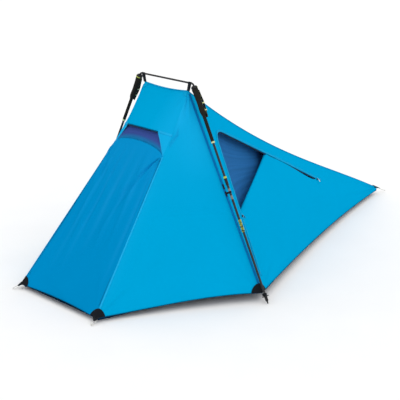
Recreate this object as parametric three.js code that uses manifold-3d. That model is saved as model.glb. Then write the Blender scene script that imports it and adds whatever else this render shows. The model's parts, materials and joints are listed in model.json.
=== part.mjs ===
// A single-wall A-frame shelter: two folding walking poles stand as the legs of an A, a bent tube joins their
// grips, and a kite-shaped canopy with a sewn-in floor hangs between them. Millimetres, +Z up.
// The origin is on the ground midway between the pole tips. +X runs to the long tail, -Y is the door side.
import * as THREE from 'three';
import { mergeVertices } from 'three/addons/utils/BufferGeometryUtils.js';
import Module from 'manifold-3d';

const wasm = await Module();
wasm.setup();

// ---- Driving dimensions ----
const POLE_LENGTH = 1218;
const TIP_HALF_SPAN = 771; // pole tip to the centre line
const TIP_LIFT = 2.1; // keeps the leaning tip's lower rim on the ground
const GRIP_HALF_SPAN = 222; // pole axis to the centre line, 1067 above the ground
const BAR_RADIUS = 5;
const BAR_HEIGHT = 1094;
const LOOP_HALF_SPAN = 172; // webbing loop on the bar to the centre line
const SHAFT_RADIUS = 6.2;
const SHAFT_BORE = 5.2;
const CORD_RADIUS = 1.6;
const FIT = 0.4; // clearance between pieces that sit one inside the other

const SHEET = 1.6; // canopy thickness, with its coating and seam tape
const SEAM_GAP = 3; // each panel stops this far short of its seam line
const PATCH_LIFT = 0.5; // sewn-on pieces stand this far off the panel below
const PATCH_THICKNESS = 1.4;
const CORNER_PATCH_LIFT = 3;
const FLOOR_THICKNESS = 3;
const FLOOR_WALL_HEIGHT = 20;

// Seam corners of the canopy. y is the distance from the centre line; the tent is the same on both sides.
const RIDGE_CORNER = [0, 172, 1049];
const BRIM_CORNER = [-135, 188, 829];
const VENT_SILL_CORNER = [-215, 199, 734];
const FOOT_CORNER = [-797, 319, 25];
const POLE_FOOT_CORNER = [0, 726, 49];
const TAIL_HIGH = [1975, 8, 42];
const TAIL_LOW = [1975, 8, 24];

// How far each edge bows away from its chord, as the offsets of its two inner control points.
const RIDGE_BOW_NEAR_POLE = 170;
const RIDGE_BOW_NEAR_TAIL = 25;
const TAIL_HEM_BOWS = [[0, 44, 0], [0, 66, 0]];
const FOOT_HEM_BOW = [27, 0, 0];
const SIDE_HEM_BOWS = [[0, 34, -10], [0, 42, 24]];
const TOP_HEM_SAG = 13;
const BRIM_BOW = [-70, 97, 35]; // the inner control points lie near the ends, so the middle stays straight
const SILL_BOW = [-5, 94, 72];
const BRIM_OPEN_TO = 0.75; // the brim is free up to here, and beyond it a cheek closes the vent's corner

// The door, in the plane of the near tail panel: a runs along the ridge from the top corner, b runs up.
const ZIP_LINE_B = -160;
const ZIP_TAIL_A = 1335;
const ZIP_END_A = 1400;
const DOOR_CORNER_A = 202;
const DOOR_CORNER_ROUND = 85;
const FOLD_TOP = [747, ZIP_LINE_B];
const FOLD_BOTTOM = [344, -632];
const SIDE_ZIP_END_B = -960;
const SLIT_GAP = 20;
const ZIP_TAPE_WIDTH = 12;
const FLAP_INSET = 3;
const FLAP_DEPTH = 15; // the flap's hinge line lies this far inside the panel
const FLAP_FOLD = THREE.MathUtils.degToRad(176);
const MESH_HINGE_DEPTH = 78;
const MESH_CORNER_DEPTH = 34;
const MESH_THICKNESS = 1.2;

const ROUND = 16; // facets round a turned part
const PANEL_STEPS = 8;

// ---- Materials ----
function material(color, roughness, metalness = 0) {
  return new THREE.MeshStandardMaterial({ color, roughness, metalness });
}
const CANOPY_BLUE = material(0x019ed5, 0.6);
const FOOT_BLUE = material(0x018bc3, 0.6);
const MESH_BLUE = material(0x1d619b, 0.9);
const FLOOR_NAVY = material(0x17324f, 0.7);
const WEBBING_BLACK = material(0x24333f, 0.85);
const ZIP_BLUE = material(0x14507c, 0.7);
const CORD_PALE = material(0xf0f0ea, 0.7);
const BAR_BLACK = material(0x1b1c1f, 0.35, 0.7);
const FOAM_BLACK = material(0x2b2a26, 0.9);
const SHAFT_BLACK = material(0x1d1e20, 0.4, 0.6);
const LIME = material(0xc6d83a, 0.5);
const PALE_LIME = material(0xdfe9a8, 0.5);
const STEEL = material(0xb4b6b8, 0.35, 1);
const PLASTIC_BLACK = material(0x202124, 0.55);

const tent = new THREE.Group();

function addMesh(parent, name, geometry, finish) {
  const mesh = new THREE.Mesh(geometry, finish);
  mesh.name = name;
  parent.add(mesh);
  return mesh;
}

// ---- Solids ----
function toSolid(geometry) {
  const bare = geometry.index ? geometry.toNonIndexed() : geometry.clone();
  bare.deleteAttribute('normal');
  bare.deleteAttribute('uv');
  const merged = mergeVertices(bare, 1e-3);
  const vertProperties = merged.attributes.position.array;
  const triVerts = new Uint32Array(merged.index.array);
  return new wasm.Manifold(new wasm.Mesh({ numProp: 3, vertProperties, triVerts }));
}

function toGeometry(solid) {
  const mesh = solid.getMesh();
  const geometry = new THREE.BufferGeometry();
  geometry.setAttribute('position', new THREE.BufferAttribute(mesh.vertProperties, 3));
  geometry.setIndex(new THREE.BufferAttribute(mesh.triVerts, 1));
  geometry.computeVertexNormals();
  return geometry;
}

// A ring turned about +Z from a closed outline of [radius, height] points.
function turned(outline) {
  const points = outline.map(([radius, height]) => new THREE.Vector2(radius, height));
  points.push(points[0].clone());
  return new THREE.LatheGeometry(points, ROUND).rotateX(Math.PI / 2);
}

function tube(innerRadius, outerRadius, low, high) {
  return turned([[innerRadius, low], [outerRadius, low], [outerRadius, high], [innerRadius, high]]);
}

// ---- Canopy surfaces: each is a function of u and v with u x v pointing out of the tent ----
const near = ([x, y, z]) => new THREE.Vector3(x, -y, z);
const far = ([x, y, z]) => new THREE.Vector3(x, y, z);

// A seam from start to end whose inner control points are pushed off the chord by the given bows.
function seam(start, end, firstBow = new THREE.Vector3(), secondBow = firstBow) {
  const first = start.clone().lerp(end, 1 / 3).add(firstBow);
  const second = start.clone().lerp(end, 2 / 3).add(secondBow);
  const curve = new THREE.CubicBezierCurve3(start, first, second, end);
  return (t) => curve.getPoint(t);
}

// The surface stretched over four seams: bottom and top run along u, left and right run up v.
function stretched(bottom, top, left, right) {
  const corners = [left(0), right(0), left(1), right(1)];
  return (u, v) => {
    const across = bottom(u).multiplyScalar(1 - v).addScaledVector(top(u), v);
    const upward = left(v).multiplyScalar(1 - u).addScaledVector(right(v), u);
    const flat = corners[0].clone().multiplyScalar((1 - u) * (1 - v));
    flat.addScaledVector(corners[1], u * (1 - v));
    flat.addScaledVector(corners[2], (1 - u) * v);
    flat.addScaledVector(corners[3], u * v);
    return across.add(upward).sub(flat);
  };
}

function mirrored(surface) {
  return (u, v) => {
    const point = surface(1 - u, v);
    point.y = -point.y;
    return point;
  };
}

// The same surface, held back from its four seams by a gap in millimetres, or by a quarter of its width
// where it is too narrow for that.
function heldBack(surface, gap) {
  const share = (width) => Math.min(gap / width, 0.25);
  return (u, v) => {
    const uGap = share(surface(0, v).distanceTo(surface(1, v)));
    const vGap = share(surface(u, 0).distanceTo(surface(u, 1)));
    return surface(THREE.MathUtils.lerp(uGap, 1 - uGap, u), THREE.MathUtils.lerp(vGap, 1 - vGap, v));
  };
}

// The part of a surface between two u and two v values.
function portion(surface, [u0, u1], [v0, v1]) {
  return (u, v) => surface(THREE.MathUtils.lerp(u0, u1, u), THREE.MathUtils.lerp(v0, v1, v));
}

function outwardNormal(surface, u, v) {
  const step = 0.01;
  const u0 = Math.max(u - step, 0);
  const u1 = Math.min(u + step, 1);
  const v0 = Math.max(v - step, 0);
  const v1 = Math.min(v + step, 1);
  const alongU = surface(u1, v).sub(surface(u0, v));
  const alongV = surface(u, v1).sub(surface(u, v0));
  return alongU.cross(alongV).normalize();
}

// A box cuts the quads of its front and back faces along opposite diagonals. This turns the back face's
// diagonals, so that sheets laid on the same surface stay parallel.
function matchDiagonals(box) {
  const backFace = box.groups[5];
  const index = box.index.array;
  for (let i = backFace.start; i < backFace.start + backFace.count; i += 6) {
    const [a, b, d, , c] = index.slice(i, i + 5);
    index.set([a, b, c, a, c, d], i);
  }
}

// A closed sheet on a surface, from one offset to another along its outward normal: a box with its
// vertices moved onto the two faces.
function sheet(surface, low, high, uSteps = PANEL_STEPS, vSteps = PANEL_STEPS) {
  const box = new THREE.BoxGeometry(1, 1, 1, uSteps, vSteps, 1);
  matchDiagonals(box);
  const position = box.getAttribute('position');
  for (let i = 0; i < position.count; i += 1) {
    const u = position.getX(i) + 0.5;
    const v = position.getY(i) + 0.5;
    const offset = position.getZ(i) > 0 ? high : low;
    const point = surface(u, v).addScaledVector(outwardNormal(surface, u, v), offset);
    position.setXYZ(i, point.x, point.y, point.z);
  }
  box.computeVertexNormals();
  return box;
}

const up = (height) => new THREE.Vector3(0, 0, height);

// Seams on the door side.
const ridgeCorner = near(RIDGE_CORNER);
const ridgeDirection = near(TAIL_HIGH).sub(ridgeCorner).normalize();
const poleEdgeDirection = near(POLE_FOOT_CORNER).sub(ridgeCorner);
const tailOut = poleEdgeDirection.clone().cross(ridgeDirection).normalize();
const tailUp = tailOut.clone().cross(ridgeDirection);
const ridgeSeam = seam(
  ridgeCorner,
  near(TAIL_HIGH),
  tailUp.clone().multiplyScalar(-RIDGE_BOW_NEAR_POLE),
  tailUp.clone().multiplyScalar(-RIDGE_BOW_NEAR_TAIL),
);
const poleSeam = seam(near(POLE_FOOT_CORNER), ridgeCorner);
const tailEdge = seam(near(TAIL_LOW), near(TAIL_HIGH));
const offset = ([x, y, z]) => new THREE.Vector3(x, y, z);
const tailHem = seam(near(POLE_FOOT_CORNER), near(TAIL_LOW), ...TAIL_HEM_BOWS.map(offset));
const sideHem = seam(near(FOOT_CORNER), near(POLE_FOOT_CORNER), ...SIDE_HEM_BOWS.map(offset));
const footSeam = seam(near(FOOT_CORNER), near(VENT_SILL_CORNER));
const cheekSeam = seam(near(VENT_SILL_CORNER), near(BRIM_CORNER));
const hoodSeam = seam(near(BRIM_CORNER), ridgeCorner);

// The side panel's front edge runs up the foot seam, the vent cheek and the hood seam in turn, and its top
// edge is the last bit of the hood seam.
function sideFrontEdge(t) {
  const [seamTop, cheekTop, hoodShare] = [0.69, 0.79, 0.95];
  if (t < seamTop) return footSeam(t / seamTop);
  if (t < cheekTop) return cheekSeam((t - seamTop) / (cheekTop - seamTop));
  return hoodSeam(((t - cheekTop) / (1 - cheekTop)) * hoodShare);
}

const sideTop = seam(sideFrontEdge(1), ridgeCorner);
const sideSurface = stretched(sideHem, sideTop, sideFrontEdge, poleSeam);
const tailSurface = stretched(tailHem, ridgeSeam, poleSeam, tailEdge);

// Surfaces across the middle.
const acrossY = (curve) => (t) => {
  const point = curve(t);
  point.y = -point.y;
  return point;
};
const arched = (corner, bow) => seam(far(corner), near(corner), far(bow), near(bow));
const ventSill = arched(VENT_SILL_CORNER, SILL_BOW);
const brimCurve = arched(BRIM_CORNER, BRIM_BOW);
const footHem = seam(far(FOOT_CORNER), near(FOOT_CORNER), offset(FOOT_HEM_BOW));
const footSurface = stretched(footHem, ventSill, acrossY(footSeam), footSeam);
const topHem = seam(far(RIDGE_CORNER), ridgeCorner, up(-TOP_HEM_SAG));
const hoodSurface = stretched(brimCurve, topHem, acrossY(hoodSeam), hoodSeam);
const ridgeSurface = stretched(
  seam(near(TAIL_HIGH), far(TAIL_HIGH)),
  (t) => topHem(1 - t),
  (t) => ridgeSeam(1 - t),
  (t) => acrossY(ridgeSeam)(1 - t),
);

function addPanels() {
  const panel = (surface) => sheet(heldBack(surface, SEAM_GAP), -SHEET, 0);
  addMesh(tent, 'hood_panel', panel(hoodSurface), CANOPY_BLUE);
  addMesh(tent, 'foot_panel', panel(footSurface), FOOT_BLUE);
  addMesh(tent, 'near_side_panel', panel(sideSurface), CANOPY_BLUE);
  addMesh(tent, 'far_side_panel', panel(mirrored(sideSurface)), CANOPY_BLUE);
  addMesh(tent, 'ridge_panel', panel(ridgeSurface), CANOPY_BLUE);
  addMesh(tent, 'far_tail_panel', panel(mirrored(tailSurface)), CANOPY_BLUE);
}

// ---- Vent under the hood ----
// The mesh hangs behind the brim and stands behind the sill, so that both edges shade it.
const MESH_BEHIND_SILL = new THREE.Vector3(18, 0, 4);
const MESH_BEHIND_BRIM = new THREE.Vector3(16, 0, -4);
const ROD_BEHIND_BRIM = new THREE.Vector3(4, 0, -9);

function addVent() {
  const shifted = (curve, shift) => (t) => curve(t).add(shift);
  const meshLow = shifted(ventSill, MESH_BEHIND_SILL);
  const meshHigh = shifted(brimCurve, MESH_BEHIND_BRIM);
  const meshSide = seam(meshLow(1), meshHigh(1));
  const ventSurface = stretched(meshLow, meshHigh, acrossY(meshSide), meshSide);
  const panel = sheet(heldBack(ventSurface, SEAM_GAP * 2), -MESH_THICKNESS, 0, PANEL_STEPS, 2);
  addMesh(tent, 'vent_mesh', panel, MESH_BLUE);

  // The stiff rod sewn into the brim keeps the hood open.
  const rodCurve = shifted(brimCurve, ROD_BEHIND_BRIM);
  const path = new THREE.CatmullRomCurve3([0.06, 0.15, 0.3, 0.5, 0.7, 0.85, 0.94].map(rodCurve));
  const rodRound = new THREE.Shape().absarc(0, 0, 2, 0, 2 * Math.PI);
  const rod = new THREE.ExtrudeGeometry(rodRound, { extrudePath: path, steps: 16, curveSegments: 4 });
  addMesh(tent, 'brim_rod', rod, PLASTIC_BLACK);

  // Each cheek is a triangle from the sill's corner up to the last quarter of the brim.
  const cheekTop = (t) => brimCurve(THREE.MathUtils.lerp(BRIM_OPEN_TO, 1, t));
  const tipWidth = 0.07;
  const front = seam(cheekSeam(0), cheekTop(0));
  const cheekLow = seam(front(tipWidth), cheekSeam(tipWidth));
  const cheekSurface = stretched(
    cheekLow,
    cheekTop,
    seam(cheekLow(0), cheekTop(0)),
    seam(cheekLow(1), cheekTop(1)),
  );
  const cheek = heldBack(cheekSurface, 1.5);
  addMesh(tent, 'near_vent_cheek', sheet(cheek, -SHEET, 0, 4, 4), CANOPY_BLUE);
  addMesh(tent, 'far_vent_cheek', sheet(mirrored(cheek), -SHEET, 0, 4, 4), CANOPY_BLUE);
}

// ---- Door in the near tail panel ----
const doorFrame = new THREE.Group();
doorFrame.matrixAutoUpdate = false;
doorFrame.matrix.makeBasis(ridgeDirection, tailUp, tailOut).setPosition(ridgeCorner);
tent.add(doorFrame);

// How a runs along the pole-side edge of the door as b falls.
const sideEdgeSlope = (FOLD_BOTTOM[0] - DOOR_CORNER_A) / (ZIP_LINE_B - FOLD_BOTTOM[1]);
const sideEdgeA = (b) => DOOR_CORNER_A + (ZIP_LINE_B - b) * sideEdgeSlope;

// The outline of the opened corner, shrunk by an inset; the slit is where the zip is open beyond the fold.
function cornerOutline(inset, withSlit) {
  const top = ZIP_LINE_B - inset;
  const roundLow = ZIP_LINE_B - DOOR_CORNER_ROUND;
  const shape = new THREE.Shape();
  shape.moveTo(FOLD_BOTTOM[0], FOLD_BOTTOM[1] + inset * 3);
  shape.lineTo(sideEdgeA(roundLow) + inset, roundLow);
  shape.quadraticCurveTo(DOOR_CORNER_A + inset, top, DOOR_CORNER_A + DOOR_CORNER_ROUND, top);
  if (withSlit) {
    const length = ZIP_TAIL_A - FOLD_TOP[0];
    shape.lineTo(ZIP_TAIL_A, ZIP_LINE_B + 6);
    shape.lineTo(FOLD_TOP[0] + length * 0.6, ZIP_LINE_B - SLIT_GAP);
    shape.lineTo(FOLD_TOP[0] + length * 0.1, ZIP_LINE_B - SLIT_GAP * 0.4);
    shape.lineTo(FOLD_TOP[0] - 6, ZIP_LINE_B - SLIT_GAP * 0.4);
  } else {
    shape.lineTo(FOLD_TOP[0] - inset * 2, top);
  }
  return shape;
}

// A prism through the panel with the given outline in the door's own plane.
function doorCutter(shape) {
  const reach = 80;
  const prism = new THREE.ExtrudeGeometry(shape, { depth: 2 * reach, bevelEnabled: false, curveSegments: 5 });
  prism.translate(0, 0, -reach);
  return toSolid(prism.applyMatrix4(doorFrame.matrix));
}

function zipTapeOutline() {
  const width = ZIP_TAPE_WIDTH;
  const overlap = -1;
  const band = new THREE.Shape();
  const low = ZIP_LINE_B - DOOR_CORNER_ROUND;
  band.moveTo(ZIP_END_A, ZIP_LINE_B - overlap);
  band.lineTo(ZIP_END_A, ZIP_LINE_B + width);
  band.lineTo(DOOR_CORNER_A + DOOR_CORNER_ROUND, ZIP_LINE_B + width);
  band.quadraticCurveTo(DOOR_CORNER_A - width, ZIP_LINE_B + width, sideEdgeA(low) - width, low);
  band.lineTo(sideEdgeA(SIDE_ZIP_END_B) - width, SIDE_ZIP_END_B);
  band.lineTo(sideEdgeA(SIDE_ZIP_END_B) + overlap, SIDE_ZIP_END_B);
  band.lineTo(sideEdgeA(low) + overlap, low);
  const innerTop = ZIP_LINE_B - overlap;
  band.quadraticCurveTo(DOOR_CORNER_A, innerTop, DOOR_CORNER_A + DOOR_CORNER_ROUND, innerTop);
  return band;
}

function slider(pullLength) {
  const half = 5;
  const shape = new THREE.Shape();
  shape.moveTo(-half, -half);
  shape.lineTo(-1.5, -half);
  shape.lineTo(-1.5, -half - pullLength);
  shape.lineTo(1.5, -half - pullLength);
  shape.lineTo(1.5, -half);
  shape.lineTo(half, -half);
  shape.lineTo(half, half);
  shape.lineTo(-half, half);
  return new THREE.ExtrudeGeometry(shape, { depth: 4, bevelEnabled: false });
}

const doorPoint = (a, b, out) => new THREE.Vector3(a, b, out);

function addDoor() {
  const tailPanel = toSolid(sheet(heldBack(tailSurface, SEAM_GAP), -SHEET, 0));
  const opened = tailPanel.subtract(doorCutter(cornerOutline(0, true)));
  addMesh(tent, 'near_tail_panel', toGeometry(opened), CANOPY_BLUE);

  const skin = toSolid(sheet(heldBack(tailSurface, SEAM_GAP), PATCH_LIFT, PATCH_LIFT + PATCH_THICKNESS));
  addMesh(tent, 'door_zip_tape', toGeometry(skin.intersect(doorCutter(zipTapeOutline()))), ZIP_BLUE);

  // The loose corner is folded inwards about the fold line and lies flat behind the panel.
  const foldPoint = doorPoint(...FOLD_TOP, -FLAP_DEPTH);
  const foldAxis = doorPoint(...FOLD_TOP, 0).sub(doorPoint(...FOLD_BOTTOM, 0)).normalize();
  const hinge = new THREE.Group();
  hinge.position.copy(foldPoint);
  hinge.quaternion.setFromAxisAngle(foldAxis, -FLAP_FOLD);
  doorFrame.add(hinge);
  const outline = cornerOutline(FLAP_INSET, false);
  const flap = new THREE.ExtrudeGeometry(outline, { depth: SHEET, bevelEnabled: false, curveSegments: 5 });
  addMesh(hinge, 'door_flap', flap, CANOPY_BLUE).position.set(-foldPoint.x, -foldPoint.y, 0);

  const topSlider = addMesh(doorFrame, 'top_zip_slider', slider(26), CORD_PALE);
  topSlider.position.set(ZIP_TAIL_A + 8, ZIP_LINE_B - 4, 4);
  const sideSlider = addMesh(doorFrame, 'side_zip_slider', slider(18), ZIP_BLUE);
  sideSlider.position.set(sideEdgeA(FOLD_BOTTOM[1]) - 2, FOLD_BOTTOM[1] - 12, 4);

  addMeshDoor();
}

// The insect-mesh door hangs behind the panel from a diagonal seam and closes the whole doorway.
function addMeshDoor() {
  const headHinge = doorPoint(1420, -130, -MESH_HINGE_DEPTH);
  const sillHinge = doorPoint(400, -970, -MESH_HINGE_DEPTH);
  const corner = doorPoint(160, -125, -MESH_CORNER_DEPTH);
  const along = sillHinge.clone().sub(headHinge).normalize();
  const toCorner = corner.clone().sub(headHinge);
  const out = toCorner.clone().cross(along).normalize();
  const across = out.clone().cross(along);
  const length = sillHinge.distanceTo(headHinge);
  const shape = new THREE.Shape();
  shape.moveTo(0, 0);
  shape.lineTo(length, 0);
  shape.lineTo(toCorner.dot(along), toCorner.dot(across));
  const leaf = new THREE.ExtrudeGeometry(shape, { depth: MESH_THICKNESS, bevelEnabled: false });
  leaf.applyMatrix4(new THREE.Matrix4().makeBasis(along, across, out).setPosition(headHinge));
  addMesh(doorFrame, 'mesh_door', leaf, MESH_BLUE);
}

// ---- Floor ----
function addFloor() {
  const steps = 8;
  const edge = [];
  const sample = (curve, from, to) => {
    for (let i = 0; i < steps; i += 1) edge.push(curve(THREE.MathUtils.lerp(from, to, i / steps)));
  };
  sample(sideHem, 0, 1);
  sample(tailHem, 0, 1);
  sample(acrossY(tailHem), 1, 0);
  sample(acrossY(sideHem), 1, 0);
  sample(footHem, 0, 1);
  const outline = (shrink) => new THREE.Path(edge.map((point) => {
    const middle = 300;
    return new THREE.Vector2(middle + (point.x - middle) * shrink, point.y * shrink);
  }));
  const base = new THREE.Shape(outline(0.985).getPoints());
  const rim = new THREE.Shape(outline(0.985).getPoints());
  rim.holes.push(outline(0.978));
  const plate = new THREE.ExtrudeGeometry(base, { depth: FLOOR_THICKNESS, bevelEnabled: false });
  const wall = new THREE.ExtrudeGeometry(rim, { depth: FLOOR_WALL_HEIGHT, bevelEnabled: false });
  addMesh(tent, 'floor', toGeometry(toSolid(plate).add(toSolid(wall))), FLOOR_NAVY);
}

// ---- Corner patches and peg loops ----
function addCorners() {
  const low = CORNER_PATCH_LIFT;
  const high = CORNER_PATCH_LIFT + PATCH_THICKNESS;
  const side = heldBack(sideSurface, SEAM_GAP);
  const foot = heldBack(footSurface, SEAM_GAP);
  const polePatch = portion(side, [0.91, 1], [0, 0.08]);
  const footPatch = portion(side, [0, 0.08], [0, 0.06]);
  const farFootPatch = portion(foot, [0, 0.1], [0, 0.06]);
  addMesh(tent, 'near_pole_foot_patch', sheet(polePatch, low, high, 1, 1), WEBBING_BLACK);
  addMesh(tent, 'far_pole_foot_patch', sheet(mirrored(polePatch), low, high, 1, 1), WEBBING_BLACK);
  addMesh(tent, 'near_foot_patch', sheet(footPatch, low, high, 1, 1), WEBBING_BLACK);
  addMesh(tent, 'far_foot_patch', sheet(farFootPatch, low, high, 1, 1), WEBBING_BLACK);

  const hood = new THREE.ConeGeometry(16, 26, 8).rotateZ(-Math.PI / 2);
  addMesh(tent, 'tail_patch', hood, WEBBING_BLACK).position.set(TAIL_HIGH[0] + 15, 0, 33);

  const loop = () => new THREE.TorusGeometry(14, 1.6, 6, 16).scale(1.5, 1, 1);
  const nearLoop = addMesh(tent, 'near_peg_loop', loop(), CORD_PALE);
  nearLoop.position.set(FOOT_CORNER[0] - 26, -FOOT_CORNER[1] - 11, 18);
  nearLoop.rotation.set(0, -0.35, THREE.MathUtils.degToRad(22), 'ZYX');
  const farLoop = addMesh(tent, 'far_peg_loop', loop(), CORD_PALE);
  farLoop.position.set(FOOT_CORNER[0] - 26, FOOT_CORNER[1] + 11, 18);
  farLoop.rotation.set(0, -0.35, THREE.MathUtils.degToRad(-22), 'ZYX');
  const tailLoop = addMesh(tent, 'tail_peg_loop', loop(), CORD_PALE);
  tailLoop.position.set(TAIL_HIGH[0] + 51, 0, 20);
  tailLoop.rotation.y = 0.5;
}

// ---- Poles ----
const lean = Math.atan2(TIP_HALF_SPAN - GRIP_HALF_SPAN, 1067);

// A stretch of webbing ring that holds the canopy's pole edge to the shaft.
function poleTie(ringRadius, tabLength) {
  const outer = ringRadius + 2;
  const tabHalf = 5;
  const shape = new THREE.Shape();
  const meet = Math.asin(tabHalf / outer);
  shape.absarc(0, 0, outer, Math.PI / 2 + meet, Math.PI / 2 - meet + 2 * Math.PI, false);
  shape.lineTo(tabHalf, tabLength);
  shape.lineTo(-tabHalf, tabLength);
  shape.holes.push(new THREE.Path().absarc(0, 0, ringRadius, 0, 2 * Math.PI));
  return new THREE.ExtrudeGeometry(shape, { depth: 10, bevelEnabled: false, curveSegments: 10 });
}

function wristStrap() {
  const length = 150;
  const depth = 6;
  const ring = new THREE.Shape();
  const end = (path, radius) => {
    path.absarc(0, 0, radius, 0, Math.PI, false);
    path.absarc(0, -length, radius, Math.PI, 2 * Math.PI, false);
    return path;
  };
  end(ring, depth / 2);
  ring.holes.push(end(new THREE.Path(), depth / 2 - 1.4));
  const strap = new THREE.ExtrudeGeometry(ring, { depth: 16, bevelEnabled: false, curveSegments: 4 });
  return strap.translate(0, 0, -8).rotateX(Math.PI / 2);
}

function addPole(side, parent) {
  const pole = new THREE.Group();
  pole.position.set(0, -TIP_HALF_SPAN, 0);
  pole.rotation.x = -lean;
  parent.add(pole);
  const place = (name, geometry, finish) => addMesh(pole, `${side}_${name}`, geometry, finish);
  const bore = SHAFT_RADIUS + FIT;

  const tip = [[0, TIP_LIFT], [3.4, TIP_LIFT], [4, 14], [7.6, 18], [8.4, 30], [7.4, 61]];
  const tipSolid = new THREE.LatheGeometry(
    [...tip, [0, 61]].map(([radius, height]) => new THREE.Vector2(radius, height)),
    ROUND,
  );
  place('pole_tip', tipSolid.rotateX(Math.PI / 2), PLASTIC_BLACK);
  place('basket', turned([[9, 40], [18, 41], [19, 43], [18, 45], [9, 46]]), PLASTIC_BLACK);
  place('lower_shaft', tube(SHAFT_BORE, SHAFT_RADIUS, 62, 432), SHAFT_BLACK);
  place('lower_joint', turned([[bore, 400], [8, 400], [8.2, 404], [8.2, 464], [8, 468], [bore, 468]]), LIME);
  place('middle_shaft', tube(SHAFT_BORE, SHAFT_RADIUS, 434, 684), SHAFT_BLACK);
  place('upper_joint', turned([[bore, 661], [7.9, 661], [8.4, 696], [8.4, 710], [bore, 710]]), LIME);
  const collar = [[bore, 896], [8.6, 896], [9.6, 899], [9.6, 903], [8.6, 905.5], [bore, 905.5]];
  place('collar_ring', turned(collar), PALE_LIME);
  const foam = [[bore, 906], [8.4, 906], [9.2, 912], [9.2, 1048], [12, 1061], [bore, 1061]];
  place('grip_extension', turned(foam), FOAM_BLACK);
  const grip = [[bore, 1062], [13.2, 1062], [15, 1078], [13.4, 1118], [14.6, 1168], [17, 1194], [17, 1201]];
  place('grip', turned([...grip, [bore, 1201]]), FOAM_BLACK);
  const cap = [[BAR_RADIUS + FIT, 1202], [17, 1202], [17, 1208], [14, 1216], [BAR_RADIUS + FIT, POLE_LENGTH]];
  place('grip_cap', turned(cap), LIME);
  place('tension_cord', new THREE.CylinderGeometry(CORD_RADIUS, CORD_RADIUS, 1080, 8)
    .rotateX(Math.PI / 2).translate(0, 0, 62.5 + 540), CORD_PALE);

  // The spring button that locks the shaft open stands out of a hole just below the collar.
  const buttonHeight = 880;
  const hole = new THREE.CylinderGeometry(2.6, 2.6, 12, 12).rotateZ(Math.PI / 2);
  hole.translate(6, 0, buttonHeight);
  const shaft = toSolid(tube(SHAFT_BORE, SHAFT_RADIUS, 686, 1200)).subtract(toSolid(hole));
  place('upper_shaft', toGeometry(shaft), SHAFT_BLACK);
  const button = new THREE.CylinderGeometry(2.2, 2.2, 5, 12).rotateZ(Math.PI / 2);
  place('lock_button', button, STEEL).position.set(6.5, 0, buttonHeight);

  const strapX = side === 'near' ? 21 : -21; // both straps hang on the tail's side of their grips
  place('wrist_strap', wristStrap(), WEBBING_BLACK).position.set(strapX, 0, 1190);
  place('mid_pole_tie', poleTie(SHAFT_RADIUS + 0.6, 34), WEBBING_BLACK).position.set(0, 0, 617);
  place('pole_foot_tie', poleTie(9.2, 17), WEBBING_BLACK).position.set(0, 0, 49);
}

// ---- Spreader bar and its webbing ----
function addSpreaderBar() {
  const legDirection = new THREE.Vector3(0, Math.sin(lean), Math.cos(lean));
  const tipPoint = new THREE.Vector3(0, -TIP_HALF_SPAN, 0);
  const onPole = (height) => tipPoint.clone().addScaledVector(legDirection, height);
  const start = onPole(1204);
  const bend = onPole(BAR_HEIGHT / Math.cos(lean));
  const bendRoom = 12;
  const beforeBend = bend.clone().addScaledVector(legDirection, -bendRoom);
  const afterBend = bend.clone().add(new THREE.Vector3(0, bendRoom, 0));
  const opposite = (point) => new THREE.Vector3(point.x, -point.y, point.z);
  const path = new THREE.CurvePath();
  path.add(new THREE.LineCurve3(start, beforeBend));
  path.add(new THREE.QuadraticBezierCurve3(beforeBend, bend, afterBend));
  path.add(new THREE.LineCurve3(afterBend, opposite(afterBend)));
  path.add(new THREE.QuadraticBezierCurve3(opposite(afterBend), opposite(bend), opposite(beforeBend)));
  path.add(new THREE.LineCurve3(opposite(beforeBend), opposite(start)));
  const round = new THREE.Shape().absarc(0, 0, BAR_RADIUS, 0, 2 * Math.PI);
  const bar = new THREE.ExtrudeGeometry(round, { extrudePath: path, steps: 36, curveSegments: 6 });
  addMesh(tent, 'spreader_bar', bar, BAR_BLACK);

  // A webbing loop over each end of the bar carries a top corner of the canopy.
  const loop = new THREE.Shape();
  const outer = BAR_RADIUS + 2.2;
  const tail = RIDGE_CORNER[2] - BAR_HEIGHT + 1;
  loop.absarc(0, 0, outer, 0, Math.PI, false);
  loop.lineTo(-1.4, tail);
  loop.lineTo(1.4, tail);
  loop.holes.push(new THREE.Path().absarc(0, 0, BAR_RADIUS + 0.5, 0, 2 * Math.PI));
  const webbing = () => new THREE.ExtrudeGeometry(loop, { depth: 18, bevelEnabled: false, curveSegments: 10 })
    .translate(0, 0, -9).rotateX(Math.PI / 2);
  addMesh(tent, 'near_bar_loop', webbing(), WEBBING_BLACK).position.set(0, -LOOP_HALF_SPAN, BAR_HEIGHT);
  addMesh(tent, 'far_bar_loop', webbing(), WEBBING_BLACK).position.set(0, LOOP_HALF_SPAN, BAR_HEIGHT);
}

addPanels();
addVent();
addDoor();
addFloor();
addCorners();
addPole('near', tent);
const farHalf = new THREE.Group();
farHalf.rotation.z = Math.PI;
tent.add(farHalf);
addPole('far', farHalf);
addSpreaderBar();

export default tent;
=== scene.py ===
import json
import math

import bpy
import numpy as np
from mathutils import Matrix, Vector
from mathutils.geometry import delaunay_2d_cdt


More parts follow.
